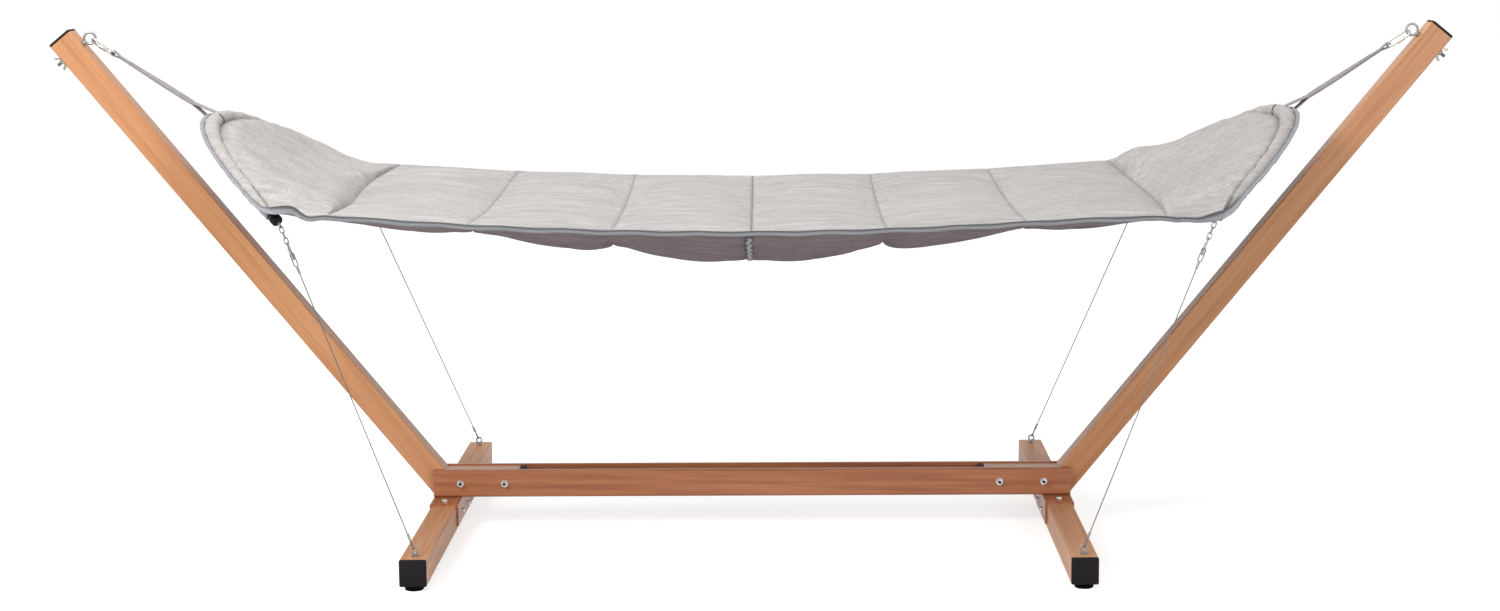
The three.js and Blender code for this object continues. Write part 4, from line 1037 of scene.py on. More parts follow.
def make_bed(materials):
    form = BedForm()
    u_lines = bed_lines(22)
    columns = 64
    even = np.linspace(-1, 1, columns + 1)
    v_lines = np.sin(even * math.pi / 2) * 0.35 + even * 0.65
    u, v = np.meshgrid(u_lines, v_lines, indexing="ij")
    top, under = form.top(u, v), form.under(u, v)
    rows, cols = u.shape
    count = rows * cols
    points = np.concatenate([top.reshape(-1, 3), under.reshape(-1, 3)])
    faces, indices = [], []
    for r in range(rows - 1):
        for c in range(cols - 1):
            a, b = r * cols + c, (r + 1) * cols + c
            faces.append((a, b, b + 1, a + 1))
            indices.append(0)
            faces.append((count + a, count + a + 1, count + b + 1, count + b))
            indices.append(1)
    for r in range(rows - 1):
        for c, flip in ((0, False), (cols - 1, True)):
            a, b = r * cols + c, (r + 1) * cols + c
            face = (a, count + a, count + b, b)
            faces.append(face[::-1] if flip else face)
            indices.append(2)
    for c in range(cols - 1):
        for r, flip in ((0, True), (rows - 1, False)):
            a = r * cols + c
            face = (a, count + a, count + a + 1, a + 1)
            faces.append(face[::-1] if flip else face)
            indices.append(0)
    bed = mesh_piece("quilted_bed", points, faces, [materials[key] for key in ("fabric", "under", "binding")], indices)
    seam = (np.abs(u - np.round(u)) < 1e-6) | (np.abs(v) > 1 - 1e-6)
    calm = np.where(np.abs(u) > PER_SIDE, 0.25, 1.0).ravel()
    swollen(bed, np.flatnonzero(np.tile(seam.ravel(), 2)), np.tile(calm, 2))
    for key, values in (("u", u), ("v", v)):
        layer = bed.data.attributes.new("bed_" + key, "FLOAT", "POINT")
        layer.data.foreach_set("value", np.tile(values.ravel(), 2).astype(np.float32))
    side = bed.data.attributes.new("bed_side", "FLOAT", "POINT")
    side.data.foreach_set("value", np.repeat([1.0, -1.0], count).astype(np.float32))
    finer = bed.modifiers.new("finer", "SUBSURF")
    finer.levels = finer.render_levels = 1
    graph = bpy.context.evaluated_depsgraph_get()
    mesh = bpy.data.meshes.new_from_object(bed.evaluated_get(graph), depsgraph=graph)
    bed.modifiers.clear()
    coarse, bed.data = bed.data, mesh
    bpy.data.meshes.remove(coarse)
    mesh.name = "quilted_bed"
    gathered(bed, form)
    dress(bed, "bed", "hammock_pad")
    return bed


def gathered(bed, form):
    """Sewn grooves, the gathers that run out from them, and painted shade in the grooves and at the end folds"""
    mesh = bed.data
    total = len(mesh.vertices)
    values = {}
    for key in ("bed_u", "bed_v", "bed_side"):
        values[key] = np.empty(total, np.float32)
        mesh.attributes[key].data.foreach_get("value", values[key])
    u, v, side = values["bed_u"], values["bed_v"], values["bed_side"]
    points = np.empty(total * 3)
    mesh.vertices.foreach_get("co", points)
    normals = np.empty(total * 3)
    mesh.vertex_normals.foreach_get("vector", normals)
    points, normals = points.reshape(-1, 3), normals.reshape(-1, 3)
    away = np.abs(u - np.round(u)) * SEAM_SPACING
    inner = (np.abs(np.round(u)) <= PER_SIDE) * np.clip((1 - np.abs(v)) / 0.01, 0, 1)
    groove = np.exp(-((away / 0.0035) ** 2)) * inner
    upper = np.clip(side, 0, 1)
    lower = np.clip(-side, 0, 1)
    shift = upper * form.gathers(u, v, 0.0) + lower * 1.9 * form.gathers(u, v, 1.3) - 0.0022 * groove * upper
    mesh.vertices.foreach_set("co", (points + normals * shift[:, None]).ravel())
    # The 'seam' attribute is painted shade: darker in the sewn grooves, most at the middle seam, and in the fold where
    # the top cloth meets each end roll
    seam = mesh.attributes.new("seam", "FLOAT", "POINT")
    groove_shade = np.exp(-((away / 0.0022) ** 2)) * inner * np.where(np.abs(u) < 0.5, 1.0, 0.6)
    fold_shade = np.exp(-(((PER_SIDE + 1 - np.abs(u)) * SEAM_SPACING / 0.006) ** 2))
    fold_shade = fold_shade * np.exp(-(((v + 0.1) / 0.3) ** 2)) * upper
    seam.data.foreach_set("value", np.maximum(groove_shade, 0.7 * fold_shade).astype(np.float32))
    for key in ("bed_u", "bed_v", "bed_side"):
        mesh.attributes.remove(mesh.attributes[key])
    mesh.update()


def swept_band(name, centres, heights, outs, tall, thick, material, cyclic=False, both=False):
    """A soft flat band with an oval section, tall along one direction and thick along another, with painted shade along
    its edges
    """
    loops = []
    count = 14
    for i, centre in enumerate(centres):
        h, o = heights[i], outs[i]
        loop = []
        for k in range(count):
            angle = 2 * math.pi * k / count
            c, s = math.cos(angle), math.sin(angle)
            c = math.copysign(abs(c) ** 0.8, c)
            loop.append(centre + o * (thick[i] / 2 * s) + h * (tall[i] / 2 * c))
        loops.append(loop)
    band = lofted(name, loops, material, not cyclic, cyclic)
    # Painted shade along the band: the binding darkens toward its edge by the bed, for the shadow under the cloth's
    # rolled edge and at the roll; with both, the middle band darkens along its two long edges, where it meets the belly
    shade_shares = [1.0 if abs(k - count / 2) < 2.5 or both and min(k, count - k) < 2.5 else 0.0 for k in range(count)]
    if not both:
        shade_shares[4] = shade_shares[10] = 0.8
    seam = band.data.attributes.new("seam", "FLOAT", "POINT")
    seam.data.foreach_set("value", np.tile(np.array(shade_shares, np.float32), len(centres)))
    return band


def band_path(form):
    """The binding's way round the whole bed: centre, tall direction, outward direction, height and thickness"""
    p, b = form.places, form.bed
    flange = math.radians(-14)

    def side(u, back):
        v = 1.0 if back else -1.0
        point = Vector(form.surface(np.array([u]), np.array([v]))[0])
        wave = 0.0009 * math.sin(u * 19 + back) + 0.0006 * math.sin(u * 43 + 2)
        rise = 0.0017 * math.sin(u * 13.5 + 3 * back) + 0.0009 * math.sin(u * 31)
        near = max(0.0, (abs(u) - 3.3) / 0.36) if u * v > 0 else 0.0
        out = Vector((0, v, 0))
        centre = point + out * (0.0018 + wave) + Vector((0, 0, rise - b.rim / 2 - 0.003 + 0.015 * near * near))
        tall = 0.0112 + 0.0009 * math.sin(u * 27 + 1) + 0.008 * near * near
        return centre, Vector((0, v * 0.3, -0.95)), out, tall, 0.0088 - 0.002 * near

    def hang(angle, turn):
        """How far the bed's end hangs down at an angle of the bow"""
        droop = form.droop(np.array([(PER_SIDE + 1.0) * turn]), np.array([turn * angle / p.sleeve_reach]))
        return max(0.0, float(droop[0]))

    def nose(angle, turn):
        radial, up = p.radial(angle), p.bow_up
        direction = radial * math.cos(flange) + up * math.sin(flange)
        across = up * math.cos(flange) - radial * math.sin(flange)
        reach = float(p.roll(angle / p.sleeve_reach))
        wave = 0.0008 * math.sin(angle * 31) + 0.0005 * math.sin(angle * 67)
        centre = turned(p.bow(angle) + direction * (reach + 0.0028 + wave), turn)
        centre.z -= hang(angle, turn)
        return centre, turned(direction, turn), turned(across * -1, turn), 0.0175, 0.0052

    def corner(first, last, angle, turn, rise=0.0):
        """A broad flap over the roll's end, between the flange and the side"""
        reach = float(p.roll(1.0)) + 0.007
        over = p.bow(angle) + p.radial(angle) * reach + Y_AXIS * math.copysign(0.036, angle)
        over = turned(over - p.bow_up * 0.002, turn)
        over.z += rise - hang(angle, turn)
        points = []
        for t in np.linspace(0, 1, 16)[1:-1]:
            centre = first[0] * (1 - t) ** 2 + over * 2 * t * (1 - t) + last[0] * t**2
            tall = first[1].lerp(last[1], t).normalized()
            out = first[2].lerp(last[2], t)
            out = (out - tall * out.dot(tall)).normalized()
            broad = math.sin(math.pi * t) ** 0.8
            points.append((centre, tall, out, 0.017 + 0.006 * broad, 0.0055 - 0.001 * broad))
        return points

    limit = p.sleeve_reach - 0.06
    front = [side(u, False) for u in np.linspace(-3.66, 3.66, 200)]
    right = [nose(angle, 1.0) for angle in np.linspace(-limit, limit, 90)]
    back = [side(u, True) for u in np.linspace(3.66, -3.66, 200)]
    left = [nose(angle, -1.0) for angle in np.linspace(-limit, limit, 90)]
    reach = p.sleeve_reach + 0.012
    path = front + corner(front[-1], right[0], -reach, 1.0, -0.008) + right + corner(right[-1], back[0], reach, 1.0)
    path += back + corner(back[-1], left[0], -reach, -1.0) + left + corner(left[-1], front[0], reach, -1.0, 0.009)
    return path


def smoothed_path(path):
    """The path with its directions and sizes eased by five rounds of averaging"""
    columns = [[item[k].copy() if k < 3 else item[k] for item in path] for k in range(5)]
    count = len(path)
    for _ in range(5):
        columns = [
            [values[i - 1] * 0.25 + values[i] * 0.5 + values[(i + 1) % count] * 0.25 for i in range(count)]
            for values in columns
        ]
    centres, talls, outs, tall, thick = columns
    for i in range(count):
        ahead = (centres[(i + 1) % count] - centres[i - 1]).normalized()
        talls[i] = (talls[i] - ahead * talls[i].dot(ahead)).normalized()
        out = ahead.cross(talls[i]).normalized()
        outs[i] = out if out.dot(outs[i]) > 0 else -out
    return centres, talls, outs, tall, thick


def make_binding(materials):
    form = BedForm()
    centres, talls, outs, tall, thick = smoothed_path(band_path(form))
    band = swept_band("edge_binding", centres, talls, outs, tall, thick, materials["binding"], True)
    dress(band, "bed")
    line = [c + o * (t / 2) + h * (k * 0.18) for c, o, t, h, k in zip(centres, outs, thick, talls, tall)]
    thread = stitches("binding_stitches", line + line[:1], materials["thread"], 0.0075, 0.0045, 0.0005)
    dress(thread, "bed")
    return band


def make_middle_band(materials):
    """The wavy band under the middle seam"""
    form = BedForm()
    rows = []
    for v in np.linspace(-0.985, 0.985, 140):
        u, w = np.array([0.0]), np.array([v])
        point = Vector(form.surface(u, w)[0])
        normal = Vector(form.normal(u, w)[0])
        depth = float(form.under_depth(u, w)[0]) + 0.0028
        rows.append((point - normal * depth, normal, v))
    centres, talls, outs, tall, thick = [], [], [], [], []
    for centre, normal, v in rows:
        wave = math.sin(v * 88) + 0.6 * math.sin(v * 143 + 1)
        centres.append(centre + Vector((0.0024 * wave + 0.0025 * (1 - v), 0, 0)) - normal * 0.001)
        talls.append(Vector((math.cos(0.2 * wave), 0, math.sin(0.2 * wave))))
        outs.append((normal - talls[-1] * normal.dot(talls[-1])).normalized())
        taper = min(1.0, (1 - abs(v)) / 0.03 + 0.55)
        tall.append((0.0165 + 0.0012 * wave) * taper)
        thick.append(0.0052)
    band = swept_band("middle_band_cloth", centres, talls, outs, tall, thick, materials["band"], both=True)
    dress(band, "bed", "middle_band")
    return band


# ---- Bows, sleeves and straps


def make_bows(materials):
    p = Places(bpy.context.scene.hammock_frame)
    s = p.settings
    for name, turn in ENDS:
        line = [turned(p.bow(a), turn) for a in np.linspace(-p.bow_reach, p.bow_reach, 72)]
        tube = wire(f"bow_tube_{name}", line, s.bow_radius, materials["tube"], sides=24)
        dress(tube, "bed", f"spreader_bow_{name}")
        loops = []
        count, end_radius = 26, 0.0134
        for a in np.linspace(-p.sleeve_reach, p.sleeve_reach, 150):
            near_end = min(1.0, (p.sleeve_reach - abs(a)) / 0.1)
            loop = []
            for k in range(count):
                t = 2 * math.pi * k / count
                wave = 0.0006 * math.sin(a * 95 + 2 * math.sin(t * 2)) + 0.0005 * math.sin(a * 171 + 3 * t)
                wave += 0.0008 * math.sin(a * 47 + t)
                radius = end_radius + (float(p.roll(a / p.sleeve_reach)) - end_radius) * math.sqrt(near_end)
                radius = radius + wave * near_end
                loop.append(turned(p.round_bow(a, radius, t), turn))
            loops.append(loop)
        sleeve = lofted(f"bow_sleeve_cloth_{name}", loops, materials["roll"])
        dress(sleeve, "bed", f"bow_sleeve_{name}")
        make_slit_shadow(p, name, turn, materials)
        for side in SIDES:
            make_bow_cap(p, name, turn, side, materials)


def make_slit_shadow(p, name, turn, materials):
    """A dark wire in the roll beside the strap: painted shade standing in for the shadow inside the slit"""
    points = []
    for k, t in enumerate(np.linspace(math.radians(75), math.radians(165), 16)):
        angle = 0.058 + 0.006 * math.sin(k * 0.4)
        reach = p.settings.roll_radius + 0.0006
        points.append(turned(p.round_bow(angle, reach, t), turn))
    slit = wire(f"strap_slit_{name}", points, 0.0011, materials["slit"], sides=8)
    dress(slit, "bed")


def corner_name(name, turn, side):
    """The stay's or foot's real corner: the left end is turned, so its front is the other side"""
    return f"{name}_{'front' if side * turn < 0 else 'back'}"


def make_bow_cap(p, name, turn, side, materials):
    face = p.bow(side * p.bow_reach)
    out = p.tangent(side * p.bow_reach) * side
    matrix = end_matrix(turn) @ facing(face, out)
    r = 0.013
    rim = 0.0045
    profile = [(0.0, 0.0003), (r - 0.0008, 0.0003), (r, 0.0012), (r, 0.0115)]
    profile += arc(r - rim, 0.0115, rim, 0.2, math.pi / 2, 7) + [(0.006, 0.0158), (0.0, 0.0156)]
    cap = lathe(f"bow_cap_dressed_{corner_name(name, turn, side)}", profile, matrix, materials["plastic"])
    _, eyelet, along, _, depth = p.stay(side)
    centre = eyelet + along * EYELET_RADIUS
    line = ring_points(EYELET_RADIUS, end_matrix(turn) @ oriented(centre, along, depth))
    ring = wire("eyelet", line, 0.0015, materials["steel"], True)
    cap = joined(cap.name, [cap, ring])
    dress(cap, "bed", f"bow_cap_{corner_name(name, turn, side)}")
    return cap


def strap_line(p):
    """The webbing's middle line in the pull's plane: round the sleeve and the hook, both strands side by side"""
    s = p.settings
    radius = s.bow_radius + 0.0013
    half = 0.0013
    split = 0.07
    eye_r = 0.0056
    eye_a = p.hook_start + 0.0016
    tangent = math.acos((radius - half) / split)
    points = arc(0, 0, radius, tangent, 2 * math.pi - tangent, 40)
    points += [(a, -half) for a in np.linspace(split, eye_a - 0.02, 46)]
    small = math.acos(eye_r / 0.02)
    points += arc(eye_a, 0, eye_r, math.pi + small, 3 * math.pi - small, 26)
    points += [(a, half) for a in np.linspace(eye_a - 0.02, split, 46)]
    return points, split, eye_a


def make_straps(materials):
    p = Places(bpy.context.scene.hammock_frame)
    points, split, eye_a = strap_line(p)
    for name, turn in ENDS:
        loops = []
        count = len(points)
        for i, (a, m) in enumerate(points):
            before, after = points[i - 1], points[(i + 1) % count]
            da, dm = after[0] - before[0], after[1] - before[1]
            length = math.hypot(da, dm) or 1.0
            normal = (-dm / length, da / length)
            share = min(1.0, max(0.0, (a - split * 0.6) / 0.06))
            twist = STRAP_TWIST * share * share * (3 - 2 * share)
            taper = min(1.0, max(0.0, (a - eye_a + 0.14) / 0.125))
            half_width = 0.0135 - 0.0085 * taper
            thick = 0.0011
            loop = []
            for w, t in ((-1, -1), (-0.96, -1.0), (0.96, -1), (1, -1), (1, 1), (0.96, 1), (-0.96, 1), (-1, 1)):
                aa, mm = a + normal[0] * thick * t, m + normal[1] * thick * t
                y = w * half_width * (1.0 if abs(w) < 1 else 1.03)
                y2 = y * math.cos(twist) - mm * math.sin(twist) * turn
                m2 = mm * math.cos(twist) + y * math.sin(twist) * turn
                loop.append(turned(p.apex + p.pull * aa + p.pull_up * m2 + Y_AXIS * y2, turn))
            loops.append(loop)
        strap = lofted(f"strap_webbing_{name}", loops, materials["webbing"], False, True)
        dress(strap, "bed", f"strap_{name}")
        for k, (a0, w) in enumerate(((split + 0.008, 0.009), (eye_a - 0.075, 0.0065))):
            box = [(a0, -w), (a0 + 0.03, -w), (a0 + 0.03, w), (a0, w), (a0, -w), (a0 + 0.03, w)]
            line = []
            for a, y in box:
                y2, m2 = y * math.cos(STRAP_TWIST), y * math.sin(STRAP_TWIST) * turn + 0.0027
                line.append(turned(p.apex + p.pull * a + p.pull_up * m2 + Y_AXIS * y2, turn))
            thread = stitches(f"strap_stitches_{name}_{k}", line, materials["thread"], 0.004, 0.0026, 0.0004)
            dress(thread, "bed")


# ---- Snap hooks, eye bolts and wing nuts


def hook_matrix(p, turn):
    tilt = math.radians(60)
    across = p.pull_up * math.cos(tilt) + Y_AXIS * math.sin(tilt)
    return end_matrix(turn) @ oriented(p.apex + p.pull * p.hook_start, p.pull, across)


def make_hooks(materials):
    p = Places(bpy.context.scene.hammock_frame)
    for name, turn in ENDS:
        matrix = hook_matrix(p, turn)
        half, length, gate = HOOK_HALF_WIDTH, HOOK_LENGTH, 0.013
        line = [(gate, -half), (half, -half)]
        line += arc(half, 0, half, 1.5 * math.pi, 0.5 * math.pi, 20)
        line += [(x, half) for x in np.linspace(half, length - half, 8)[1:-1]]
        line += arc(length - half, 0, half, 0.5 * math.pi, -0.5 * math.pi, 20)
        line += [(length - gate, -half)]
        points = [matrix @ Vector((x, y, 0)) for x, y in line]
        body = wire(f"snap_hook_dressed_{name}", points, 0.0025, materials["bolt"], sides=18)
        lugs = []
        for x in (gate - 0.0005, length - gate + 0.0005):
            place = matrix @ Matrix.Translation((x, -half, 0)) @ Matrix.Rotation(math.pi / 2, 4, "Y")
            lugs.append(lathe("lug", LUG, place, materials["bolt"], 20))
        body = joined(body.name, [body, *lugs])
        dress(body, "bed", f"snap_hook_{name}")
        lay = matrix @ Matrix.Translation((0, -half, 0)) @ Matrix.Rotation(math.pi / 2, 4, "Y")
        start, stop = gate + 0.0036, length - gate - 0.0034
        profile = [(0, start), (0.0022, start), (0.0024, start + 0.0006), (0.0024, stop - 0.0245)]
        profile += [(0.0041, stop - 0.0241), (0.0045, stop - 0.0232), (0.0045, stop - 0.0155), (0.0041, stop - 0.015)]
        profile += [(0.0041, stop - 0.0142), (0.0045, stop - 0.0137), (0.0045, stop - 0.004), (0.0041, stop - 0.0032)]
        profile += [(0.0024, stop - 0.003), (0.0024, stop - 0.0004), (0, stop)]
        sleeve = lathe(f"snap_hook_gate_dressed_{name}", profile, lay, materials["bolt"], 24)
        dress(sleeve, f"gate_{name}", f"snap_hook_gate_{name}")
        make_eye_bolt(p, name, turn, materials)


def threaded(start, stop, core, crest, pitch):
    """A profile with ridges, for a threaded shank"""
    profile = []
    z = start
    while z + pitch < stop:
        profile += [(core, z), (crest, z + pitch * 0.45), (crest, z + pitch * 0.55)]
        z += pitch
    return profile + [(core, z)]


def make_eye_bolt(p, name, turn, materials):
    s = p.settings
    line = ring_points(EYE_RING_RADIUS, end_matrix(turn) @ oriented(p.ring, X_AXIS, Z_AXIS), 56)
    ring = wire("ring", line, 0.00275, materials["steel"], True, 18)
    matrix = end_matrix(turn) @ facing(p.eye_axis, p.arm_out)
    face = s.tube / 2 + 0.0003
    profile = [(0, -face - 0.0085), (0.0036, -face - 0.0085), (0.0038, -face - 0.003), (0.0072, -face - 0.0029)]
    profile += [(0.0075, -face - 0.0024), (0.0075, -face - 0.0005), (0.0072, -face), (0.0038, -face)]
    profile += [(0.0038, face + 0.0085), *threaded(face + 0.0088, s.tube / 2 + 0.0205, 0.0035, 0.004, 0.00125)]
    profile += [(0.0033, s.tube / 2 + 0.0215), (0, s.tube / 2 + 0.0218)]
    shank = lathe("shank", profile, matrix, materials["steel"], 24)
    bolt = joined(f"eye_bolt_dressed_{name}", [ring, shank])
    dress(bolt, "stand", f"top_eye_bolt_{name}")
    seat = p.eye_axis + p.arm_out * face
    local = end_matrix(turn) @ oriented(seat, p.arm_along, -Y_AXIS)
    loops = [[local @ q for q in circle(r, 28, z)] for r, z in WING_NUT_HUB + WING_NUT_HUB[:1]]
    nut = lofted("hub", loops, materials["steel"], False)
    blades = []
    cx, cz = (sum(pair[k] for pair in WING) / len(WING) for k in (0, 1))
    for sign in (1, -1):
        rings = []
        for depth, inset in ((-0.0015, 0.78), (-0.0011, 1.0), (0.0011, 1.0), (0.0015, 0.78)):
            drawn = [(cx + (x - cx) * inset, cz + (z - cz) * inset) for x, z in WING]
            rings.append([local @ Vector((sign * x, depth, z)) for x, z in drawn])
        blades.append(lofted("blade", rings, materials["steel"]))
    nut = joined(f"wing_nut_dressed_{name}", [nut, *blades])
    dress(nut, f"wing_{name}", f"wing_nut_{name}")


# ---- Stays


def make_stays(materials):
    p = Places(bpy.context.scene.hammock_frame)
    for name, turn in ENDS:
        for side in SIDES:
            make_stay(p, name, turn, side, materials)


def make_stay(p, name, turn, side, materials):
    corner = corner_name(name, turn, side)
    top, eyelet, along, across, depth = p.stay(side)
    whole = end_matrix(turn)
    link_top = 0.0039
    span = 0.043
    rod = 0.00125
    overlap = 0.0029
    hook_length = 0.04
    run = (span + 2 * overlap) / 3
    links = []
    for k in range(3):
        centre = eyelet + along * (link_top - run / 2 - k * (run - overlap))
        matrix = whole @ oriented(centre, along, across if k % 2 == 0 else depth)
        links.append(wire(f"link_{k}", stadium_points(run, 0.0085, matrix), rod, materials["steel"], True, 10))
    chain = joined(f"stay_chain_{corner}", links)
    dress(chain, "bed", f"stay_link_{corner}")
    hook_top = link_top - span + 0.0039
    hook_bottom = hook_top - hook_length
    matrix = whole @ oriented(eyelet + along * (hook_top - hook_length / 2), along, depth)
    body = wire("hook_body", stadium_points(hook_length, 0.01, matrix), 0.0015, materials["steel"], True, 12)
    lay = matrix @ Matrix.Translation((0, 0.005, 0)) @ Matrix.Rotation(math.pi / 2, 4, "Y")
    gate = lathe("hook_gate", STAY_HOOK_GATE, lay, materials["steel"], 16)
    hook = joined(f"stay_hook_dressed_{corner}", [body, gate])
    dress(hook, "bed", f"stay_hook_{corner}")
    reach = (eyelet - top).length
    upper = eyelet + along * (hook_bottom - 0.017)
    foot_end = -reach - 0.0032 - 0.0009
    lower = eyelet + along * (foot_end + 0.0208)
    start = whole @ (lower + along * 0.001)
    stop = whole @ (upper - along * 0.001)
    line = [start.lerp(stop, t) for t in np.linspace(0, 1, 25)]
    rope = wire(f"stay_wire_dressed_{corner}", line, 0.0012, materials["rope"], sides=12)
    loops = []
    for height, length, plane in ((hook_bottom, 0.0316, across), (foot_end + 0.0098, 0.0196, depth)):
        points = stadium_points(length, 0.0086, whole @ oriented(eyelet + along * height, along, plane))
        loops.append(wire("loop", points, 0.0012, materials["rope"], True, 10))
    ferrules = []
    for centre in (upper - along * 0.008, lower + along * 0.008):
        ferrules.append(lathe("ferrule", FERRULE, whole @ facing(centre, along), materials["steel"], 16))
    ends = joined(f"stay_ends_{corner}", [*loops, *ferrules])
    dress(rope, f"stay_{corner}", f"stay_wire_{corner}")
    dress(ends, f"stay_{corner}")


# ---- Feet, caps and fasteners


def square_cap(name, sections, matrix, material):
    loops = [[matrix @ q for q in square_loop(*section)] for section in sections]
    return lofted(name, loops, material)


def make_feet(materials):
    s = bpy.context.scene.hammock_frame
    centre_z = 0.011 + s.tube / 2
    for name, turn in ENDS:
        whole = end_matrix(turn)
        for side in SIDES:
            corner = corner_name(name, turn, side)
            face = Vector((s.foot_x, side * s.foot_half, centre_z))
            matrix = whole @ oriented(face, Z_AXIS, X_AXIS * -side)
            cap = square_cap(f"foot_cap_dressed_{corner}", FOOT_CAP, matrix, materials["plastic"])
            dress(cap, "stand", f"foot_cap_{corner}")
            base = whole @ Matrix.Translation((s.foot_x, side * (s.foot_half - 0.025), 0))
            rubber = lathe(f"rubber_foot_dressed_{corner}", RUBBER_FOOT, base, materials["rubber"], 40)
            dress(rubber, "stand", f"rubber_foot_{corner}")
            make_foot_eye(s, whole, corner, side, materials)


def make_foot_eye(s, whole, corner, side, materials):
    y = side * (s.foot_half - FOOT_EYE_INSET)
    top = 0.071
    ring_z = top + 0.013
    line = ring_points(FOOT_EYE_RADIUS, whole @ oriented(Vector((s.foot_x, y, ring_z)), X_AXIS, Z_AXIS))
    ring = wire("ring", line, 0.002, materials["steel"], True)
    base = whole @ Matrix.Translation((s.foot_x, y, top))
    stem = lathe("stem", FOOT_EYE_STEM, base, materials["steel"], 24)
    eye = joined(f"foot_eye_dressed_{corner}", [ring, stem])
    dress(eye, "stand", f"foot_eye_{corner}")


def socket_head(name, matrix, radius, height, across, material):
    """A round bolt head with a hexagonal recess, its seat at the matrix's origin and its face along +z"""
    count = 24
    edge = radius * 0.12
    loops = [
        circle(radius * 0.5, count, -0.0002),
        circle(radius, count, 0),
        circle(radius, count, height - edge),
        circle(radius - edge * 0.35, count, height - edge * 0.3),
        circle(radius - edge, count, height),
        circle(across * 0.66, count, height),
        hex_loop(across, height - 0.0004, count),
        hex_loop(across, height * 0.45, count),
        hex_loop(across * 0.2, height * 0.4, count),
    ]
    head = lofted(name, [[matrix @ q for q in loop] for loop in loops], material)
    # The recess's faces get a near-black finish: painted shade for the shadow inside the socket
    recess = {"Base": (0.03, 0.029, 0.028, 1), "Smooth": 0.5, "Rough": 0.7, "Grain": 900.0}
    head.data.materials.append(finish_material("bolt_recess", rub_group(), recess, STRAIGHT, (0.1, 0.0001)))
    for face in head.data.polygons:
        face.material_index = 1 if min(face.vertices) >= 6 * count else 0
    return head


def make_fasteners(materials):
    s = bpy.context.scene.hammock_frame
    for name, turn in ENDS:
        for place, inset in (("outer", 0.065), ("inner", 0.171)):
            x = turn * (s.beam_half - inset)
            seat = Vector((x, -BEAM_FACE, s.stub_centre))
            washer = lathe("washer", WASHER, facing(seat, -Y_AXIS), materials["bolt"], 32)
            on_washer = facing(seat - Y_AXIS * 0.0016, -Y_AXIS)
            head = socket_head("head", on_washer, 0.007, 0.0082, 0.0075, materials["bolt"])
            matrix = facing(Vector((x, BEAM_FACE, s.stub_centre)), Y_AXIS)
            nut_loops = [hex_loop(0.0145, 0), hex_loop(0.017, 0.0009), hex_loop(0.017, 0.0071), hex_loop(0.0145, 0.008)]
            nut = lofted("nut", [[matrix @ q for q in loop] for loop in nut_loops], materials["bolt"])
            shank = lathe("shank", BEAM_BOLT_SHANK, matrix, materials["bolt"], 20)
            bolt = joined(f"beam_bolt_dressed_{name}_{place}", [head, washer, nut, shank])
            dress(bolt, "stand", f"beam_bolt_{name}_{place}")
        for side in SIDES:
            seat = turned((s.foot_x + 0.001, side * 0.085, 0.0753), turn)
            corner = corner_name(name, turn, side)
            bolt = socket_head(f"saddle_bolt_{corner}", facing(seat, Z_AXIS), 0.0075, 0.005, 0.006, materials["bolt"])
            dress(bolt, "stand")
            place = turned((s.foot_x - 0.0343, side * 0.05 + 0.026 * turn, 0.0375 + 0.0015 * side), turn)
            matrix = facing(place, turned((-1, 0, 0), turn))
            bolt = socket_head(f"saddle_side_bolt_{corner}", matrix, 0.0065, 0.0042, 0.005, materials["bolt"])
            dress(bolt, "stand")


def make_tube_caps(materials):
    """Thin caps on the arm tops"""
    p = Places(bpy.context.scene.hammock_frame)
    for name, turn in ENDS:
        matrix = end_matrix(turn) @ oriented(p.tip + p.arm_along * 0.0003, Y_AXIS, p.arm_out)
        cap = square_cap(f"arm_cap_dressed_{name}", ARM_CAP, matrix, materials["plastic"])
        dress(cap, "stand", f"arm_cap_{name}")


def paint_frame(materials):
    """Finishes of the CAD nodes that stay"""
    for name, _ in ENDS:
        paint(f"arm_{name}", materials[f"{name}_arm"])
        paint(f"foot_bar_{name}", materials["foot"])
        paint(f"saddle_{name}", materials["saddle"])
        paint(f"stub_cap_{name}", materials["plastic"])
    paint("base_beam", materials["beam"])


# ---- Stage


def make_camera():
    s = bpy.context.scene.hammock_stage
    data = bpy.data.cameras.new("camera")
    data.sensor_width = 36.0
    data.sensor_fit = "HORIZONTAL"
    data.lens = s.lens
    camera = link_object(bpy.data.objects.new("camera", data))
    ahead = Vector((math.sin(s.yaw) * math.cos(s.pitch), math.cos(s.yaw) * math.cos(s.pitch), -math.sin(s.pitch)))
    right = Vector((math.cos(s.yaw), -math.sin(s.yaw), 0))
    up = right.cross(ahead)
    x_axis = right * math.cos(s.roll) + up * math.sin(s.roll)
    y_axis = up * math.cos(s.roll) - right * math.sin(s.roll)
    camera.matrix_world = oriented(Vector(s.place), x_axis, y_axis)
    data.clip_end = 400
    bpy.context.scene.camera = camera


def area_light(name, place, target, size, power, colour):
    data = bpy.data.lights.new(name, "AREA")
    data.shape = "DISK"
    data.size = size
    data.energy = power
    data.color = colour
    lamp = link_object(bpy.data.objects.new(name, data))
    lamp.location = place
    lamp.rotation_euler = (Vector(target) - Vector(place)).to_track_quat("-Z", "Y").to_euler()


def seen_directly(tree):
    """1 for rays from the camera, or by way of gloss or glass"""
    path = tree.nodes.new("ShaderNodeLightPath")
    total = maths(tree, "ADD", path.outputs["Is Camera Ray"], path.outputs["Is Glossy Ray"])
    total = maths(tree, "ADD", total, path.outputs["Is Transmission Ray"])
    return maths(tree, "MINIMUM", total, 1.0)


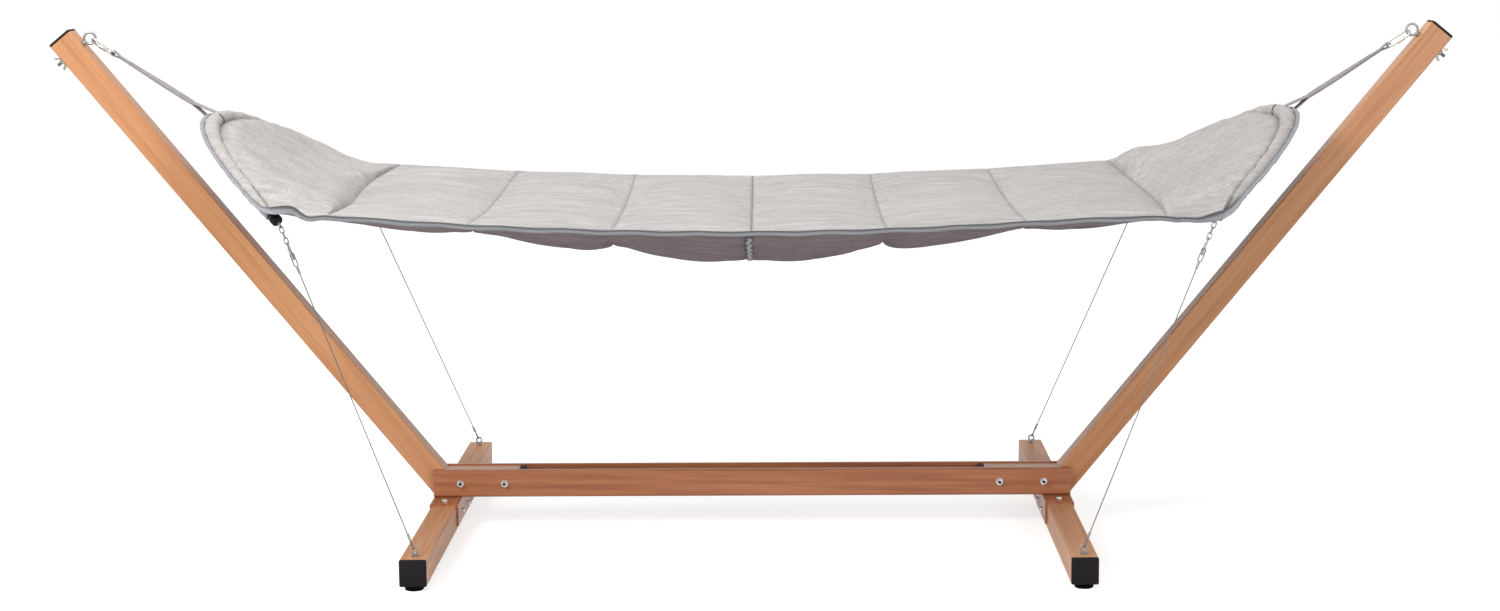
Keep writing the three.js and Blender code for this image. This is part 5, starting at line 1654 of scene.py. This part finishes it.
def make_stage():
    s = bpy.context.scene.hammock_stage
    scene = bpy.context.scene
    scene.view_settings.view_transform = "Standard"
    mesh = bpy.data.meshes.new("floor")
    reach = 90.0
    corners = [(x * reach, y * reach, 0) for x, y in ((-1, -1), (1, -1), (1, 1), (-1, 1))]
    mesh.from_pydata(corners, [], [(0, 1, 2, 3)])
    floor = link_object(bpy.data.objects.new("floor", mesh))
    material = bpy.data.materials.new("floor")
    material.use_nodes = True
    tree = material.node_tree
    shader = tree.nodes["Principled BSDF"]
    shader.inputs["Base Color"].default_value = (0.62, 0.62, 0.62, 1)
    shader.inputs["Roughness"].default_value = 0.9
    shader.inputs["Specular IOR Level"].default_value = 0.0
    glow = maths(tree, "MULTIPLY", seen_directly(tree), 0.7)
    tree.links.new(grey(tree, glow), shader.inputs["Emission Color"])
    shader.inputs["Emission Strength"].default_value = 1.0
    mesh.materials.append(material)
    world = bpy.data.worlds.new("studio")
    scene.world = world
    world.use_nodes = True
    tree = world.node_tree
    background = tree.nodes["Background"]
    background.inputs["Strength"].default_value = 1.0
    ambient = (s.ambient, s.ambient, s.ambient, 1)
    shown = mixed(tree, seen_directly(tree), ambient, (1.0, 1.0, 1.0, 1))
    tree.links.new(shown, background.inputs["Color"])
    area_light("key", (-2.7, -2.8, 3.2), (-0.4, 0, 0.8), 2.2, s.key, (1.0, 0.99, 0.97))
    area_light("fill", (3.2, -6.0, 2.2), (0, 0, 0.6), 3.5, s.fill, (0.97, 0.985, 1.0))
    area_light("top", (-0.6, 0.4, 5.0), (0, 0, 0.6), 4.0, s.top, (1.0, 1.0, 1.0))


# ---- Operators


class HammockOperator(bpy.types.Operator):
    """Shared behaviour of the steps"""

    bl_options = {"REGISTER", "UNDO"}
    makers = ()

    def execute(self, context):
        materials = finishes()
        for maker in self.makers:
            maker(materials)
        return {"FINISHED"}


class HAMMOCK_OT_camera(bpy.types.Operator):
    """Sets up the camera at the photograph's angle"""

    bl_idname = "hammock.camera"
    bl_label = "Camera"

    def execute(self, context):
        make_camera()
        return {"FINISHED"}


class HAMMOCK_OT_stays(HammockOperator):
    """Makes the four stays with their chains, hooks, loops and ferrules"""

    bl_idname = "hammock.stays"
    bl_label = "Stays"
    makers = (make_stays,)


class HAMMOCK_OT_bed(HammockOperator):
    """Makes the quilted bed with its binding and middle band"""

    bl_idname = "hammock.bed"
    bl_label = "Bed"
    makers = (make_bed, make_binding, make_middle_band)


class HAMMOCK_OT_bows(HammockOperator):
    """Makes the spreader bows with their sleeves, caps and straps"""

    bl_idname = "hammock.bows"
    bl_label = "Bows and straps"
    makers = (make_bows, make_straps)


class HAMMOCK_OT_fittings(HammockOperator):
    """Makes the snap hooks, eye bolts, wing nuts and fasteners"""

    bl_idname = "hammock.fittings"
    bl_label = "Fittings"
    makers = (make_hooks, make_fasteners)


class HAMMOCK_OT_frame(HammockOperator):
    """Makes the caps and feet, and finishes the tubes"""

    bl_idname = "hammock.frame"
    bl_label = "Stand"
    makers = (make_feet, make_tube_caps, paint_frame)


class HAMMOCK_OT_stage(bpy.types.Operator):
    """Sets up the floor, surroundings and lamps"""

    bl_idname = "hammock.stage"
    bl_label = "Stage"

    def execute(self, context):
        make_stage()
        return {"FINISHED"}


STEPS = (
    HAMMOCK_OT_camera, HAMMOCK_OT_stays, HAMMOCK_OT_bed, HAMMOCK_OT_bows,
    HAMMOCK_OT_fittings, HAMMOCK_OT_frame, HAMMOCK_OT_stage,
)


class HAMMOCK_PT_panel(bpy.types.Panel):
    """Settings and steps"""

    bl_idname = "HAMMOCK_PT_panel"
    bl_label = "Hammock"
    bl_space_type = "VIEW_3D"
    bl_region_type = "UI"
    bl_category = "Hammock"

    def draw(self, context):
        for step in STEPS:
            self.layout.operator(step.bl_idname)
        for key, kind in SETTINGS.items():
            box = self.layout.box()
            box.label(text=kind.__doc__)
            for name in kind.__annotations__:
                box.prop(getattr(context.scene, key), name)


CLASSES = (*SETTINGS.values(), *STEPS, HAMMOCK_PT_panel)


def register():
    for kind in CLASSES:
        bpy.utils.register_class(kind)
    for key, kind in SETTINGS.items():
        setattr(bpy.types.Scene, key, PointerProperty(type=kind))


def unregister():
    for key in SETTINGS:
        delattr(bpy.types.Scene, key)
    for kind in reversed(CLASSES):
        bpy.utils.unregister_class(kind)


def main():
    register()
    bpy.ops.hammock.camera()
    bpy.ops.hammock.stays()
    bpy.ops.hammock.bed()
    bpy.ops.hammock.bows()
    bpy.ops.hammock.fittings()
    bpy.ops.hammock.frame()
    bpy.ops.hammock.stage()


if __name__ == "__main__":
    main()
